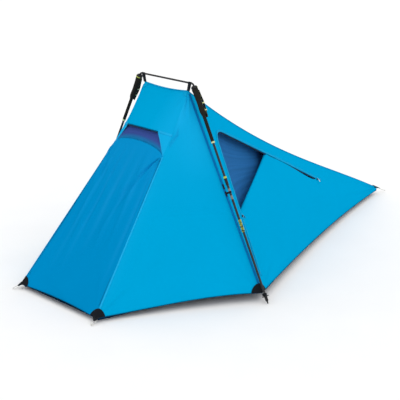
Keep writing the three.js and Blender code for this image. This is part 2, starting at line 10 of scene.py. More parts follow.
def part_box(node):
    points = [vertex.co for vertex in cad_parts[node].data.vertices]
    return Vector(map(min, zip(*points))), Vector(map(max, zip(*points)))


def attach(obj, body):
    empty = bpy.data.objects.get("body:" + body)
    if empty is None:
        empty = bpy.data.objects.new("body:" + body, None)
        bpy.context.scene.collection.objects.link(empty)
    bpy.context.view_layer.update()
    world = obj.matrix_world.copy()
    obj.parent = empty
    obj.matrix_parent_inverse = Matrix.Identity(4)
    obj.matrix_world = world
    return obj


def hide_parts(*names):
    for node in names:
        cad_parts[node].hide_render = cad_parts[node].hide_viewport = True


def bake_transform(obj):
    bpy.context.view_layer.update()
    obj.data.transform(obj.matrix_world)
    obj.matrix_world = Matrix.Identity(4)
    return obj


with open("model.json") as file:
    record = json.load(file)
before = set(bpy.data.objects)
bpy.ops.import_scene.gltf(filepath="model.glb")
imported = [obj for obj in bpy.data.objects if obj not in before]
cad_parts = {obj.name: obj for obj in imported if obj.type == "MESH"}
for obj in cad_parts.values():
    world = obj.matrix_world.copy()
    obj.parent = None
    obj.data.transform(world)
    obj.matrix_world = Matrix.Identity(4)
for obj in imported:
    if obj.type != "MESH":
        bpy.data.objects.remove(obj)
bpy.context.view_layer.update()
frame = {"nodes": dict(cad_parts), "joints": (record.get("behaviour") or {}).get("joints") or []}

# --- Driving dimensions, in metres. Seam corners are (x, half width, z); the door side is -Y ---
RIDGE_CORNER = (0, 0.172, 1.049)
BRIM_CORNER = (-0.135, 0.188, 0.829)
VENT_SILL_CORNER = (-0.215, 0.199, 0.734)
FOOT_CORNER = (-0.797, 0.319, 0.025)
POLE_FOOT_CORNER = (0, 0.726, 0.049)
TAIL_HIGH = (1.975, 0.008, 0.042)
TAIL_LOW = (1.975, 0.008, 0.024)
RIDGE_BOW_NEAR_POLE = 0.170
RIDGE_BOW_NEAR_TAIL = 0.025
TAIL_HEM_BOWS = ((0, 0.044, 0), (0, 0.066, 0))
FOOT_HEM_BOW = (0.027, 0, 0)
SIDE_HEM_BOWS = ((0, 0.034, -0.010), (0, 0.042, 0.024))
TOP_HEM_SAG = 0.013
BRIM_BOW = (-0.070, 0.097, 0.035)
SILL_BOW = (-0.005, 0.094, 0.072)
BRIM_OPEN_TO = 0.75
CLOTH = 0.0007

# The door, in the plane of the near tail panel: a runs along the ridge from the top corner, b runs up.
ZIP_LINE_B = -0.160
ZIP_TAIL_A = 1.335
ZIP_END_A = 1.400
DOOR_CORNER_A = 0.202
DOOR_CORNER_ROUND = 0.085
FOLD_TOP = (0.747, -0.160)
FOLD_BOTTOM = (0.344, -0.632)
SIDE_ZIP_END_B = -0.960
SLIT_GAP = 0.020

TENT = "tent"
UP = np.array((0.0, 0.0, 1.0))
SIDES = (("near", 1), ("far", -1))


# --- Curves and surfaces, as functions of numpy arrays ---
def near(corner):
    return np.array((corner[0], -corner[1], corner[2]), float)


def far(corner):
    return np.array(corner, float)


def seam(start, end, first_bow=(0, 0, 0), second_bow=None):
    """A seam whose two inner control points are pushed off the chord."""
    second_bow = first_bow if second_bow is None else second_bow
    first = start + (end - start) / 3 + np.array(first_bow)
    second = start + (end - start) * 2 / 3 + np.array(second_bow)

    def curve(t):
        t = np.asarray(t, float)[..., None]
        s = 1 - t
        return s**3 * start + 3 * s * s * t * first + 3 * s * t * t * second + t**3 * end

    return curve


def mirror_y(points):
    return points * np.array((1, -1, 1))


def across_y(curve):
    return lambda t: mirror_y(curve(t))


def backwards(curve):
    return lambda t: curve(1 - np.asarray(t, float))


def part_of(curve, start, end):
    return lambda t: curve(start + (end - start) * np.asarray(t, float))


def stretched(bottom, top, left, right):
    """The surface stretched over four seams: bottom and top run along u, left and right run up v."""
    corners = [left(0.0), right(0.0), left(1.0), right(1.0)]

    def surface(u, v):
        uu, vv = u[..., None], v[..., None]
        across = bottom(u) * (1 - vv) + top(u) * vv
        upward = left(v) * (1 - uu) + right(v) * uu
        flat = corners[0] * (1 - uu) * (1 - vv) + corners[1] * uu * (1 - vv)
        flat = flat + corners[2] * (1 - uu) * vv + corners[3] * uu * vv
        return across + upward - flat

    return surface


def mirrored(surface):
    return lambda u, v: mirror_y(surface(1 - u, v))


def unit(vector):
    vector = np.asarray(vector, float)
    return vector / np.linalg.norm(vector, axis=-1, keepdims=True)


def normals_of(surface, u, v, step=0.004):
    """Outward normals of a surface at arrays of u and v."""
    u0, u1 = np.clip(u - step, 0, 1), np.clip(u + step, 0, 1)
    v0, v1 = np.clip(v - step, 0, 1), np.clip(v + step, 0, 1)
    return unit(np.cross(surface(u1, v) - surface(u0, v), surface(u, v1) - surface(u, v0)))


ridge_corner = near(RIDGE_CORNER)
ridge_along = unit(near(TAIL_HIGH) - ridge_corner)
tail_out = unit(np.cross(near(POLE_FOOT_CORNER) - ridge_corner, ridge_along))
tail_up = np.cross(tail_out, ridge_along)
ridge_seam = seam(ridge_corner, near(TAIL_HIGH), -RIDGE_BOW_NEAR_POLE * tail_up, -RIDGE_BOW_NEAR_TAIL * tail_up)
pole_seam = seam(near(POLE_FOOT_CORNER), ridge_corner)
tail_edge = seam(near(TAIL_LOW), near(TAIL_HIGH))
tail_hem = seam(near(POLE_FOOT_CORNER), near(TAIL_LOW), *TAIL_HEM_BOWS)
side_hem = seam(near(FOOT_CORNER), near(POLE_FOOT_CORNER), *SIDE_HEM_BOWS)
foot_seam = seam(near(FOOT_CORNER), near(VENT_SILL_CORNER))
cheek_seam = seam(near(VENT_SILL_CORNER), near(BRIM_CORNER))
hood_seam = seam(near(BRIM_CORNER), ridge_corner)
SIDE_SHARES = (0.69, 0.79)
SIDE_TOP_SHARE = 0.95


def side_front_edge(t):
    """The side panel's front edge: up the foot seam, the vent cheek and the hood seam in turn."""
    t = np.asarray(t, float)
    low, high = SIDE_SHARES
    part_one = foot_seam(np.clip(t / low, 0, 1))
    part_two = cheek_seam(np.clip((t - low) / (high - low), 0, 1))
    part_three = hood_seam(np.clip((t - high) / (1 - high), 0, 1) * SIDE_TOP_SHARE)
    tt = t[..., None]
    return np.where(tt < low, part_one, np.where(tt < high, part_two, part_three))


brim_curve = seam(far(BRIM_CORNER), near(BRIM_CORNER), far(BRIM_BOW), near(BRIM_BOW))
top_hem = seam(far(RIDGE_CORNER), ridge_corner, (0, 0, -TOP_HEM_SAG))
foot_hem = seam(far(FOOT_CORNER), near(FOOT_CORNER), FOOT_HEM_BOW)
vent_sill = seam(far(VENT_SILL_CORNER), near(VENT_SILL_CORNER), far(SILL_BOW), near(SILL_BOW))

side_surface = stretched(side_hem, seam(side_front_edge(1.0), ridge_corner), side_front_edge, pole_seam)
tail_surface = stretched(tail_hem, ridge_seam, pole_seam, tail_edge)
foot_surface = stretched(foot_hem, vent_sill, across_y(foot_seam), foot_seam)
hood_surface = stretched(brim_curve, top_hem, across_y(hood_seam), hood_seam)
ridge_surface = stretched(
    seam(near(TAIL_HIGH), far(TAIL_HIGH)),
    backwards(top_hem),
    backwards(ridge_seam),
    backwards(across_y(ridge_seam)),
)


# --- Meshes ---
def around(count):
    """Angles evenly round a circle, without the last one, which is the first."""
    return np.linspace(0, 2 * math.pi, count, endpoint=False)


def add_object(name, mesh, material=None):
    piece = bpy.data.objects.new(name, mesh)
    bpy.context.scene.collection.objects.link(piece)
    if material:
        mesh.materials.append(material)
    return piece


def smooth(piece):
    piece.data.polygons.foreach_set("use_smooth", [True] * len(piece.data.polygons))
    return piece


def mesh_from(name, vertices, faces, uvs=None):
    mesh = bpy.data.meshes.new(name)
    mesh.from_pydata([tuple(map(float, v)) for v in vertices], [], faces)
    if uvs is not None:
        layer = mesh.uv_layers.new(name="cloth")
        index = np.zeros(len(mesh.loops), np.int32)
        mesh.loops.foreach_get("vertex_index", index)
        layer.data.foreach_set("uv", np.asarray(uvs, np.float32)[index].ravel())
    return mesh


def grid_faces(rows, columns):
    faces = []
    for r in range(rows - 1):
        for c in range(columns - 1):
            i = r * columns + c
            faces.append((i, i + 1, i + columns + 1, i + columns))
    return faces


def metric_uvs(points):
    """Texture coordinates in metres, measured along the rows and columns of a grid of points."""
    across = np.linalg.norm(np.diff(points, axis=1), axis=2)
    upward = np.linalg.norm(np.diff(points, axis=0), axis=2)
    u = np.concatenate([np.zeros((points.shape[0], 1)), np.cumsum(across, axis=1)], axis=1)
    v = np.concatenate([np.zeros((1, points.shape[1])), np.cumsum(upward, axis=0)], axis=0)
    u = u - u.mean(axis=1, keepdims=True)
    return np.stack([u, v], axis=-1)


def thicken(piece, thickness=CLOTH):
    solid = piece.modifiers.new("thickness", "SOLIDIFY")
    solid.thickness = thickness
    solid.offset = -1
    return piece


def finish_piece(piece, slot, body=TENT, stands_for=None):
    """The body that the piece rides on and the CAD node that it stands for. The slot is not used."""
    if body:
        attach(piece, body)
    if stands_for:
        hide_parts(stands_for)
    return piece


def cloth_grid(name, points, material, thickness=CLOTH, body=TENT, slot="canopy_fabric", stands_for=None):
    """A thin cloth from a grid of points whose faces point out of the tent."""
    uvs = metric_uvs(points).reshape(-1, 2)
    mesh = mesh_from(name, points.reshape(-1, 3), grid_faces(*points.shape[:2]), uvs)
    piece = smooth(add_object(name, mesh, material))
    if thickness:
        thicken(piece, thickness)
    return finish_piece(piece, slot, body, stands_for)


def panel_points(surface, columns, rows, relief=None):
    u, v = np.meshgrid(np.linspace(0, 1, columns), np.linspace(0, 1, rows))
    points = surface(u, v)
    if relief is not None:
        points = points + normals_of(surface, u, v) * relief(u, v)[..., None]
    return points


def sweep(name, path, outline, material, up_hint=UP, body=TENT, slot="canopy_fabric", closed=False, across=None,
          scales=None, stands_for=None):
    """A solid swept along a path from an outline of (side, lift) points, which scales can narrow on the way."""
    path, outline = np.asarray(path, float), np.asarray(outline, float)
    ahead = np.roll(path, -1, axis=0) - np.roll(path, 1, axis=0) if closed else np.gradient(path, axis=0)
    tangents = unit(ahead)
    side = np.cross(tangents, np.broadcast_to(up_hint, path.shape)) if across is None else across
    side = unit(np.broadcast_to(side, path.shape))
    lift = unit(np.cross(side, tangents))
    rings = side[:, None] * outline[None, :, :1] + lift[:, None] * outline[None, :, 1:]
    if scales is not None:
        rings = rings * np.asarray(scales, float)[:, None, None]
    vertices = (path[:, None] + rings).reshape(-1, 3)
    count, stations = len(outline), len(path)
    lengths = np.concatenate([[0], np.cumsum(np.linalg.norm(np.diff(path, axis=0), axis=1))])
    uvs = np.stack([np.repeat(lengths, count), np.tile(np.linspace(0, 1, count), stations)], axis=-1)
    faces = []
    for r in range(stations if closed else stations - 1):
        this, after = r * count, (r + 1) % stations * count
        for c in range(count):
            d = (c + 1) % count
            faces.append((this + c, this + d, after + d, after + c))
    if not closed:
        faces.append(tuple(reversed(range(count))))
        faces.append(tuple(range((stations - 1) * count, stations * count)))
    piece = smooth(add_object(name, mesh_from(name, vertices, faces, uvs), material))
    return finish_piece(piece, slot, body, stands_for)


def round_outline(radius, count=12, flat=1.0):
    angles = around(count)
    return np.stack([np.cos(angles) * radius, np.sin(angles) * radius * flat], axis=-1)


def strap_outline(width, thickness):
    half, edge = width / 2, thickness / 2
    return [(-half, 0), (-half + edge, -edge), (half - edge, -edge), (half, 0), (half - edge, edge), (-half + edge, edge)]


# --- Materials ---
class Shader:
    """A node material, built by naming nodes and linking them."""

    def __init__(self, name):
        self.material = bpy.data.materials.new(name)
        self.material.use_nodes = True
        self.tree = self.material.node_tree
        self.tree.nodes.clear()
        self.output = self.tree.nodes.new("ShaderNodeOutputMaterial")

    def node(self, kind, inputs=None, **settings):
        made = self.tree.nodes.new("ShaderNode" + kind)
        for key, value in settings.items():
            setattr(made, key, value)
        for key, value in (inputs or {}).items():
            self.set(made.inputs[key], value)
        return made

    def set(self, socket, value):
        if isinstance(value, bpy.types.NodeSocket):
            self.tree.links.new(value, socket)
        else:
            socket.default_value = value

    def math(self, operation, a, b=0.0, clamp=False):
        return self.node("Math", {0: a, 1: b}, operation=operation, use_clamp=clamp).outputs[0]

    def scaled(self, value, factor, base):
        """value * factor + base"""
        return self.node("Math", {0: value, 1: factor, 2: base}, operation="MULTIPLY_ADD").outputs[0]

    def times(self, a, b):
        return self.math("MULTIPLY", a, b)

    def mix(self, factor, a, b):
        return self.node("Mix", {"Factor": factor, 6: a, 7: b}, data_type="RGBA").outputs[2]

    def layers(self, factor, under, over):
        return self.node("MixShader", {"Fac": factor, 1: under, 2: over}).outputs[0]

    def noise(self, vector, scale, detail=3.0, roughness=0.5):
        made = self.node("TexNoise", {"Vector": vector, "Scale": scale, "Detail": detail, "Roughness": roughness})
        return made.outputs["Fac"]

    def streaks(self, vector, stretch, detail=2):
        """Noise drawn out along the axis that is scaled least."""
        return self.noise(self.node("Mapping", {"Vector": vector, "Scale": stretch}).outputs[0], 1.0, detail)

    def wave(self, coordinate, per_metre, sharpness=1.0):
        """A 0 to 1 ripple along one coordinate."""
        angle = self.times(coordinate, 2 * math.pi * per_metre)
        ripple = self.scaled(self.math("SINE", angle), 0.5, 0.5)
        return self.math("POWER", ripple, sharpness) if sharpness != 1 else ripple

    def cloth_uv(self):
        uv = self.node("UVMap", uv_map="cloth").outputs[0]
        split = self.node("SeparateXYZ", {"Vector": uv})
        return uv, split.outputs[0], split.outputs[1]

    def place(self):
        return self.node("TexCoord").outputs["Object"]

    def bump(self, height, strength, distance, normal=None):
        inputs = {"Height": height, "Strength": strength, "Distance": distance}
        if normal:
            inputs["Normal"] = normal
        return self.node("Bump", inputs).outputs[0]

    def skin(self, tint, roughness, normal=None, specular=None, **levels):
        """A Principled surface. Levels are its other inputs, named in lower case with _ for a space."""
        inputs = {"Base Color": tint, "Roughness": roughness}
        if normal:
            inputs["Normal"] = normal
        if specular is not None:
            inputs["Specular IOR Level"] = specular
        inputs.update({key.replace("_", " ").title(): value for key, value in levels.items()})
        return self.node("BsdfPrincipled", inputs).outputs[0]

    def finish(self, surface):
        self.set(self.output.inputs["Surface"], surface)
        return self.material


def tone(colour, factor):
    return (*[min(1.0, c * factor) for c in colour[:3]], 1.0)


CANOPY = (0.000, 0.365, 0.680)
# The foot panel's blue is the canopy's blue painted darker: painted shade for the panel that faces away from the
# light.
SHADED_FOOT_BLUE = (0.000, 0.262, 0.575)
INNER_MESH = (0.024, 0.175, 0.460)
NAVY = (0.006, 0.030, 0.075)
BLACK_CLOTH = (0.008, 0.010, 0.014)


def ripstop(name, colour, translucency=0.12, scale=1.0):
    """Coated ripstop cloth: a fine weave crossed by thicker threads, with a painted highlight where the vertex
    attribute marks creases and taut cloth that catch the light.
    """
    s = Shader(name)
    uv, u, v = s.cloth_uv()
    place = s.place()
    weave = s.times(s.wave(u, 900 * scale), s.wave(v, 900 * scale))
    threads = s.math("MAXIMUM", s.wave(u, 160 * scale, 14), s.wave(v, 160 * scale, 14))
    painted_highlight = s.node("Attribute", attribute_name="painted_highlight").outputs["Fac"]
    tint = s.mix(s.times(s.noise(place, 3.0, 3), 0.6), tone(colour, 1.04), tone(colour, 0.93))
    tint = s.mix(s.times(threads, 0.12), tint, tone(colour, 1.30))
    # Painted highlight: the cloth is lightened by the vertex attribute, where creases and taut cloth catch the light.
    tint = s.mix(s.math("MULTIPLY", painted_highlight, 0.85, clamp=True), tint, (0.010, *tone(colour, 1.22)[1:]))
    height = s.math("ADD", s.times(weave, 0.25), s.times(threads, 0.55))
    normal = s.bump(s.noise(place, 26.0, 5, 0.62), 0.14, 0.004, s.bump(height, 0.25, 0.0002))
    sheen = tone(colour, 1.3)
    surface = s.skin(tint, s.scaled(s.noise(place, 60.0, 2), 0.12, 0.52), normal, 0.0, specular_tint=sheen,
                     sheen_weight=0.02, sheen_roughness=0.4, sheen_tint=sheen)
    through = s.node("BsdfTranslucent", {"Color": tint, "Normal": normal}).outputs[0]
    return s.finish(s.layers(translucency, surface, through))


def insect_mesh(name, colour, openness, painted_glow_colour=None, fade=0.035):
    """Fine no-see-um mesh: threads with tiny clear holes, painted brighter low down in a glow colour where it has one,
    as if daylight shone through from behind.
    """
    s = Shader(name)
    uv, u, v = s.cloth_uv()
    threads = s.math("MAXIMUM", s.wave(u, 420, 3), s.wave(v, 420, 3))
    tint = s.mix(s.streaks(uv, (2.0, 40.0, 1.0), 3), tone(colour, 0.75), tone(colour, 1.4))
    if painted_glow_colour:
        # Painted glow: the mesh fades into the glow colour towards its lower edge.
        height = s.math("DIVIDE", v, fade, clamp=True)
        tint = s.mix(s.math("POWER", height, 1.3), tone(painted_glow_colour, 1.0), tint)
    cloth = s.skin(tint, 0.85, s.bump(threads, 0.5, 0.0004), 0.1)
    solid = s.layers(0.3, cloth, s.node("BsdfTranslucent", {"Color": tint}).outputs[0])
    seen = s.math("MULTIPLY", s.math("SUBTRACT", 1.25, threads), openness, clamp=True)
    return s.finish(s.layers(seen, solid, s.node("BsdfTransparent").outputs[0]))


def webbing(name, colour, rib=700, edge=None):
    """Woven tape: cross ribs with slightly furred yarn, painted darker between the ribs as painted shade, and edge
    yarns of another colour where it has them.
    """
    s = Shader(name)
    uv, u, v = s.cloth_uv()
    ribs = s.wave(u, rib)
    fuzz = s.noise(s.place(), 900.0, 3)
    # Painted shade between the ribs.
    tint = s.mix(s.times(ribs, 0.6), tone(colour, 0.7), tone(colour, 1.5))
    tint = s.mix(s.times(fuzz, 0.3), tint, tone(colour, 2.0))
    if edge:
        near_edge = s.math("LESS_THAN", s.math("ABSOLUTE", s.math("SUBTRACT", v, 0.6)), 0.07)
        tint = s.mix(s.math("MAXIMUM", near_edge, s.math("LESS_THAN", v, 0.07)), tint, edge)
    normal = s.bump(s.math("ADD", ribs, s.times(fuzz, 0.4)), 0.5, 0.0004)
    return s.finish(s.skin(tint, 0.85, normal, 0.12, sheen_weight=0.04, sheen_roughness=0.5))


def seam_tape(name, colour, thread):
    """A folded and stitched seam: cloth with two rows of lockstitch running along its outer face."""
    s = Shader(name)
    uv, u, v = s.cloth_uv()
    place = s.place()
    row = 0.0
    for centre in (0.85, 0.95):
        gap = s.math("ABSOLUTE", s.math("SUBTRACT", v, centre))
        row = s.math("MAXIMUM", row, s.math("LESS_THAN", gap, 0.018))
    stitch = s.times(row, s.math("GREATER_THAN", s.wave(u, 220), 0.35))
    pucker = s.math("ADD", s.noise(place, 120.0, 3), s.times(s.wave(u, 70), 0.25))
    tint = s.mix(stitch, s.mix(s.noise(place, 30.0), tone(colour, 0.86), tone(colour, 1.08)), thread)
    height = s.math("ADD", s.times(stitch, 0.5), s.times(pucker, 0.6))
    return s.finish(s.skin(tint, 0.7, s.bump(height, 0.4, 0.0010), 0.05))


def anodised(name, colour, roughness):
    """Satin anodised tube, with fine lines along its length and small scuffs."""
    s = Shader(name)
    place = s.place()
    lines = s.streaks(place, (900.0, 900.0, 12.0))
    scuffs = s.times(s.math("GREATER_THAN", s.noise(place, 240.0, 4, 0.7), 0.66), 0.25)
    tint = s.mix(scuffs, s.mix(lines, tone(colour, 0.8), tone(colour, 1.3)), (0.1, 0.1, 0.1, 1))
    return s.finish(s.skin(tint, s.scaled(lines, 0.12, roughness), s.bump(lines, 0.12, 0.0002), 0.35))


def banded_shaft(name, colour, mark, low, high, axis):
    """The anodised shaft with plain printed bands between two heights along the pole."""
    s = Shader(name)
    place = s.place()
    along = s.node("VectorMath", {0: place, 1: tuple(axis)}, operation="DOT_PRODUCT").outputs["Value"]
    inside = s.times(s.math("GREATER_THAN", along, low), s.math("LESS_THAN", along, high))
    marks = s.times(inside, s.math("GREATER_THAN", s.wave(along, 26), 0.42))
    tint = s.mix(marks, s.mix(s.noise(place, 90.0), tone(colour, 0.8), tone(colour, 1.25)), mark)
    return s.finish(s.skin(tint, 0.40, s.bump(s.noise(place, 700.0), 0.08, 0.0002), 0.35))


def foam(name, colour):
    """Closed-cell foam: matt, finely pitted, its tone varying at random."""
    s = Shader(name)
    place = s.place()
    cells = s.node("TexVoronoi", {"Vector": place, "Scale": 900.0}).outputs["Distance"]
    tint = s.mix(s.noise(place, 45.0, 4), tone(colour, 0.8), tone(colour, 1.5))
    height = s.math("ADD", cells, s.times(s.noise(place, 300.0), 0.6))
    return s.finish(s.skin(tint, 0.95, s.bump(height, 0.5, 0.0006), 0.10))


def plastic(name, colour, roughness):
    """Moulded plastic with a faint grain and dulled patches."""
    s = Shader(name)
    place = s.place()
    dull = s.noise(place, 60.0, 4)
    tint = s.mix(dull, tone(colour, 0.9), tone(colour, 1.08))
    grain = s.bump(s.noise(place, 1200.0, 2), 0.15, 0.0002)
    return s.finish(s.skin(tint, s.scaled(dull, 0.2, roughness - 0.1), grain, 0.25))


def speckled(name, colour, core):
    """Moulded sleeve whose coloured skin is broken up by a dark core that shows through the grip marks."""
    s = Shader(name)
    marks = s.math("GREATER_THAN", s.noise(s.place(), 130.0, 3, 0.6), 0.50)
    return s.finish(s.skin(s.mix(marks, tone(colour, 1.0), core), 0.5, s.bump(marks, 0.3, 0.0003), 0.25))


def steel(name):
    """Brushed steel."""
    s = Shader(name)
    lines = s.streaks(s.place(), (40.0, 900.0, 900.0))
    tint = s.mix(lines, (0.5, 0.5, 0.5, 1), (0.75, 0.75, 0.74, 1))
    return s.finish(s.skin(tint, 0.32, s.bump(lines, 0.2, 0.0001), metallic=1.0))


def braided_cord(name, colour):
    """Cord whose strands wind round it both ways, painted darker in the grooves between them as painted shade."""
    s = Shader(name)
    uv, u, v = s.cloth_uv()
    winding = [s.wave(s.math(way, u, s.times(v, 0.004)), 480) for way in ("ADD", "SUBTRACT")]
    strands = s.math("MAXIMUM", *winding)
    # Painted shade: darker in the grooves between the strands.
    tint = s.mix(s.times(strands, 0.8), tone(colour, 0.6), tone(colour, 1.0))
    return s.finish(s.skin(tint, 0.75, s.bump(strands, 0.6, 0.0005), sheen_weight=0.1))


CANOPY_CLOTH = ripstop("canopy_cloth", CANOPY)
# A copy of the canopy cloth in the darker painted-shade blue.
SHADED_FOOT_CLOTH = ripstop("shaded_foot_cloth", SHADED_FOOT_BLUE)
SEAM_CLOTH = seam_tape("seam_cloth", tone(CANOPY, 0.92), tone(CANOPY, 0.72))
BAND_CLOTH = seam_tape("band_cloth", (0.012, *tone(CANOPY, 1.10)[1:3]), tone(CANOPY, 0.9))
FOOT_SEAM_CLOTH = seam_tape("foot_seam_cloth", tone(SHADED_FOOT_BLUE, 0.62), tone(SHADED_FOOT_BLUE, 0.5))
BRIM_CLOTH = seam_tape("brim_cloth", (0.0, 0.060, 0.150), (0.0, 0.10, 0.22, 1))
# The pole seam's tape is dark blue: partly the seam's binding and partly the pole's painted shadow on the cloth.
POLE_SEAM_AND_SHADOW_CLOTH = seam_tape("pole_seam_and_shadow_cloth", (0.0, 0.170, 0.460), (0.0, 0.12, 0.36, 1))
MESH_CLOTH = insect_mesh("insect_mesh", INNER_MESH, 0.12)
# The vent's mesh is dark purple, its own dark colour with painted shade under the hood, and low down it fades into the
# foot's blue as a painted glow.
HOOD_SHADED_VENT_CLOTH = insect_mesh("vent_mesh", (0.046, 0.090, 0.350), 0.05, SHADED_FOOT_BLUE)
FLOOR_CLOTH = ripstop("floor_cloth", NAVY, 0.0, 0.7)
HEM_CLOTH = seam_tape("hem_cloth", (0.0, 0.070, 0.160), (0.02, 0.12, 0.22, 1))
BLACK_WEBBING = webbing("black_webbing", BLACK_CLOTH)
STRAP_WEBBING = webbing("strap_webbing", BLACK_CLOTH, edge=(0.42, 0.46, 0.20, 1))
PATCH_CLOTH = seam_tape("patch_cloth", BLACK_CLOTH, (0.03, 0.04, 0.05, 1))
ZIP_TAPE = webbing("zip_tape", (0.006, 0.060, 0.160), 500)
PALE_CORD = braided_cord("pale_cord", (0.80, 0.80, 0.76))
BLUE_CORD = braided_cord("blue_cord", (0.004, 0.070, 0.180))
BAR_METAL = anodised("bar_metal", (0.010, 0.009, 0.010), 0.40)
SHAFT_METAL = anodised("shaft_metal", (0.011, 0.011, 0.013), 0.42)
GRIP_FOAM = foam("grip_foam", (0.014, 0.013, 0.011))
LIME = plastic("lime_plastic", (0.40, 0.46, 0.07), 0.45)
PALE_LIME = plastic("pale_lime_plastic", (0.60, 0.62, 0.30), 0.5)
BANDED_LIME = speckled("banded_lime", (0.34, 0.40, 0.06), (0.012, 0.012, 0.012, 1))
BLACK_PLASTIC = plastic("black_plastic", (0.010, 0.010, 0.012), 0.5)
STEEL = steel("button_steel")
CORD_BY_PLACE = plastic("cord_by_place", (0.75, 0.75, 0.72), 0.7)


# --- Tension in the cloth: folds that fan out of the anchored corners and run along the stretched seams, and the painted highlight where taut cloth catches the light ---
def fan(points, anchor, axis, normal, height, count, spread, reach, phase=0.0, start=0.03):
    """Folds that fan out of an anchor about a middle direction, dying away over a reach."""
    axis = unit(np.asarray(axis, float))
    across = unit(np.cross(np.asarray(normal, float), axis))
    away = points - np.asarray(anchor, float)
    distance = np.linalg.norm(away, axis=-1)
    angle = np.arctan2(away @ across, away @ axis)
    window = np.exp(-((angle / spread) ** 2))
    rise = 1 - np.exp(-((distance / start) ** 2))
    fade = np.exp(-((distance / reach) ** 1.4))
    ripple = np.cos(angle * count + phase) + 0.45 * np.cos(angle * count * 1.63 + 1.7 + phase)
    return height * window * rise * fade * ripple


def seeded_waves(points, seed, count, longest, shortest, height):
    """A sum of smooth random waves, the same on every run."""
    random = np.random.default_rng(seed)
    total = np.zeros(points.shape[:-1])
    for _ in range(count):
        direction = unit(random.normal(size=3))
        wavelength = random.uniform(shortest, longest)
        phase = random.uniform(0, 2 * math.pi)
        total += np.sin(points @ direction * (2 * math.pi / wavelength) + phase)
    return height * total / math.sqrt(count)


def crease(points, start, end, width, height, end_fade=0.06):
    """One soft fold along the line from start to end."""
    start, end = np.asarray(start, float), np.asarray(end, float)
    along = end - start
    length = np.linalg.norm(along)
    share = np.clip((points - start) @ along / length**2, 0, 1)
    nearest = start + share[..., None] * along
    gap = np.linalg.norm(points - nearest, axis=-1)
    ends = np.clip(np.minimum(share, 1 - share) * length / end_fade, 0, 1)
    return height * np.exp(-((gap / width) ** 2)) * ends


def edge_hold(u, v, share=0.06):
    """1 in the middle of a panel and 0 on its seams, so that relief never opens a seam."""
    def ramp(x):
        x = np.clip(x / share, 0, 1)
        return x * x * (3 - 2 * x)

    return ramp(u) * ramp(1 - u) * ramp(v) * ramp(1 - v)


def store_painted_highlight(piece, values):
    """The painted highlight at each vertex, 0 to 1, by which the cloth's material lightens the cloth."""
    layer = piece.data.attributes.new("painted_highlight", "FLOAT", "POINT")
    layer.data.foreach_set("value", np.clip(values, 0, 1).astype(np.float32).ravel())


def fans(points, outward, rows):
    """Several fans together. A row is an anchor and a middle direction, then fan's height, count and so on."""
    return sum(fan(points, anchor, axis, outward, *rest) for anchor, axis, *rest in rows)


def foot_folds(points):
    total = fans(points, (-0.72, 0, 0.69), (
        (near(VENT_SILL_CORNER), (-0.60, 0.20, -0.66), 0.0080, 17, 0.34, 0.60),
        (far(VENT_SILL_CORNER), (-0.60, -0.20, -0.66), 0.0060, 17, 0.34, 0.60, 0.8),
        (near(FOOT_CORNER), (0.62, 0.12, 0.70), 0.0040, 15, 0.30, 0.42, 0.5),
        (far(FOOT_CORNER), (0.62, -0.12, 0.70), 0.0040, 15, 0.30, 0.42, 1.9),
    ))
    # Long shallow folds hang from the sill and fade before the hem.
    random = np.random.default_rng(41)
    for share in np.linspace(0.16, 0.88, 9):
        share = share + random.uniform(-0.03, 0.03)
        top = vent_sill(np.array([share]))[0]
        low = foot_hem(np.array([0.5 + (share - 0.5) * 1.25]))[0]
        end = top + (low - top) * random.uniform(0.55, 0.9)
        total += crease(points, top, end, random.uniform(0.010, 0.018), random.uniform(0.0040, 0.0075), 0.16)
    return total + seeded_waves(points, 11, 10, 0.50, 0.18, 0.0010)


def foot_painted_highlight(points):
    """Painted highlight on the foot panel: light streaks hang from the sill's corners, and the cloth is painted
    lightest just under the sill.
    """
    total = 0.30 * np.clip((points[..., 2] - 0.50) / 0.25, 0, 1)
    random = np.random.default_rng(43)
    for share in (0.08, 0.20, 0.33, 0.47, 0.62, 0.76, 0.90):
        top = vent_sill(np.array([0.12 + share * 0.86]))[0]
        low = foot_hem(np.array([share]))[0]
        end = top + (low - top) * random.uniform(0.55, 0.95)
        total = total + crease(points, top, end, random.uniform(0.009, 0.018), random.uniform(0.30, 0.55), 0.30)
    return total


def side_folds(points):
    total = fans(points, (-0.5, -0.75, 0.42), (
        (near(FOOT_CORNER), (0.75, -0.10, 0.62), 0.0036, 14, 0.40, 0.34, 0.4),
        (near(POLE_FOOT_CORNER), (-0.45, 0.42, 0.70), 0.0030, 13, 0.45, 0.30, 1.3),
        (ridge_corner, (-0.14, -0.20, -0.95), 0.0030, 16, 0.35, 0.30),
    ))
    for drop, height in ((0.06, 0.0009), (0.11, 0.0008), (0.17, 0.0007)):
        start = near(BRIM_CORNER) + np.array((0.03, -0.02, -drop * 0.4))
        total += crease(points, start, start + np.array((0.07, -0.05, -drop)), 0.007, height, 0.03)
    return total + seeded_waves(points, 12, 10, 0.60, 0.20, 0.0009)


def side_painted_highlight(points):
    """Painted highlight down the hood's crease, out of the top corner and along the foot seam, and painted lighter
    towards the top.
    """
    ridge_line = crease(points, ridge_corner, near(BRIM_CORNER), 0.040, 0.55, 0.10)
    corner = crease(points, ridge_corner, near(POLE_FOOT_CORNER) * 0.3 + near(BRIM_CORNER) * 0.7, 0.10, 0.30, 0.20)
    low = crease(points, near(VENT_SILL_CORNER), near(FOOT_CORNER), 0.035, 0.18, 0.20)
    upper = 0.35 * np.clip((points[..., 2] - 0.45) / 0.45, 0, 1)
    return ridge_line + corner + low + upper


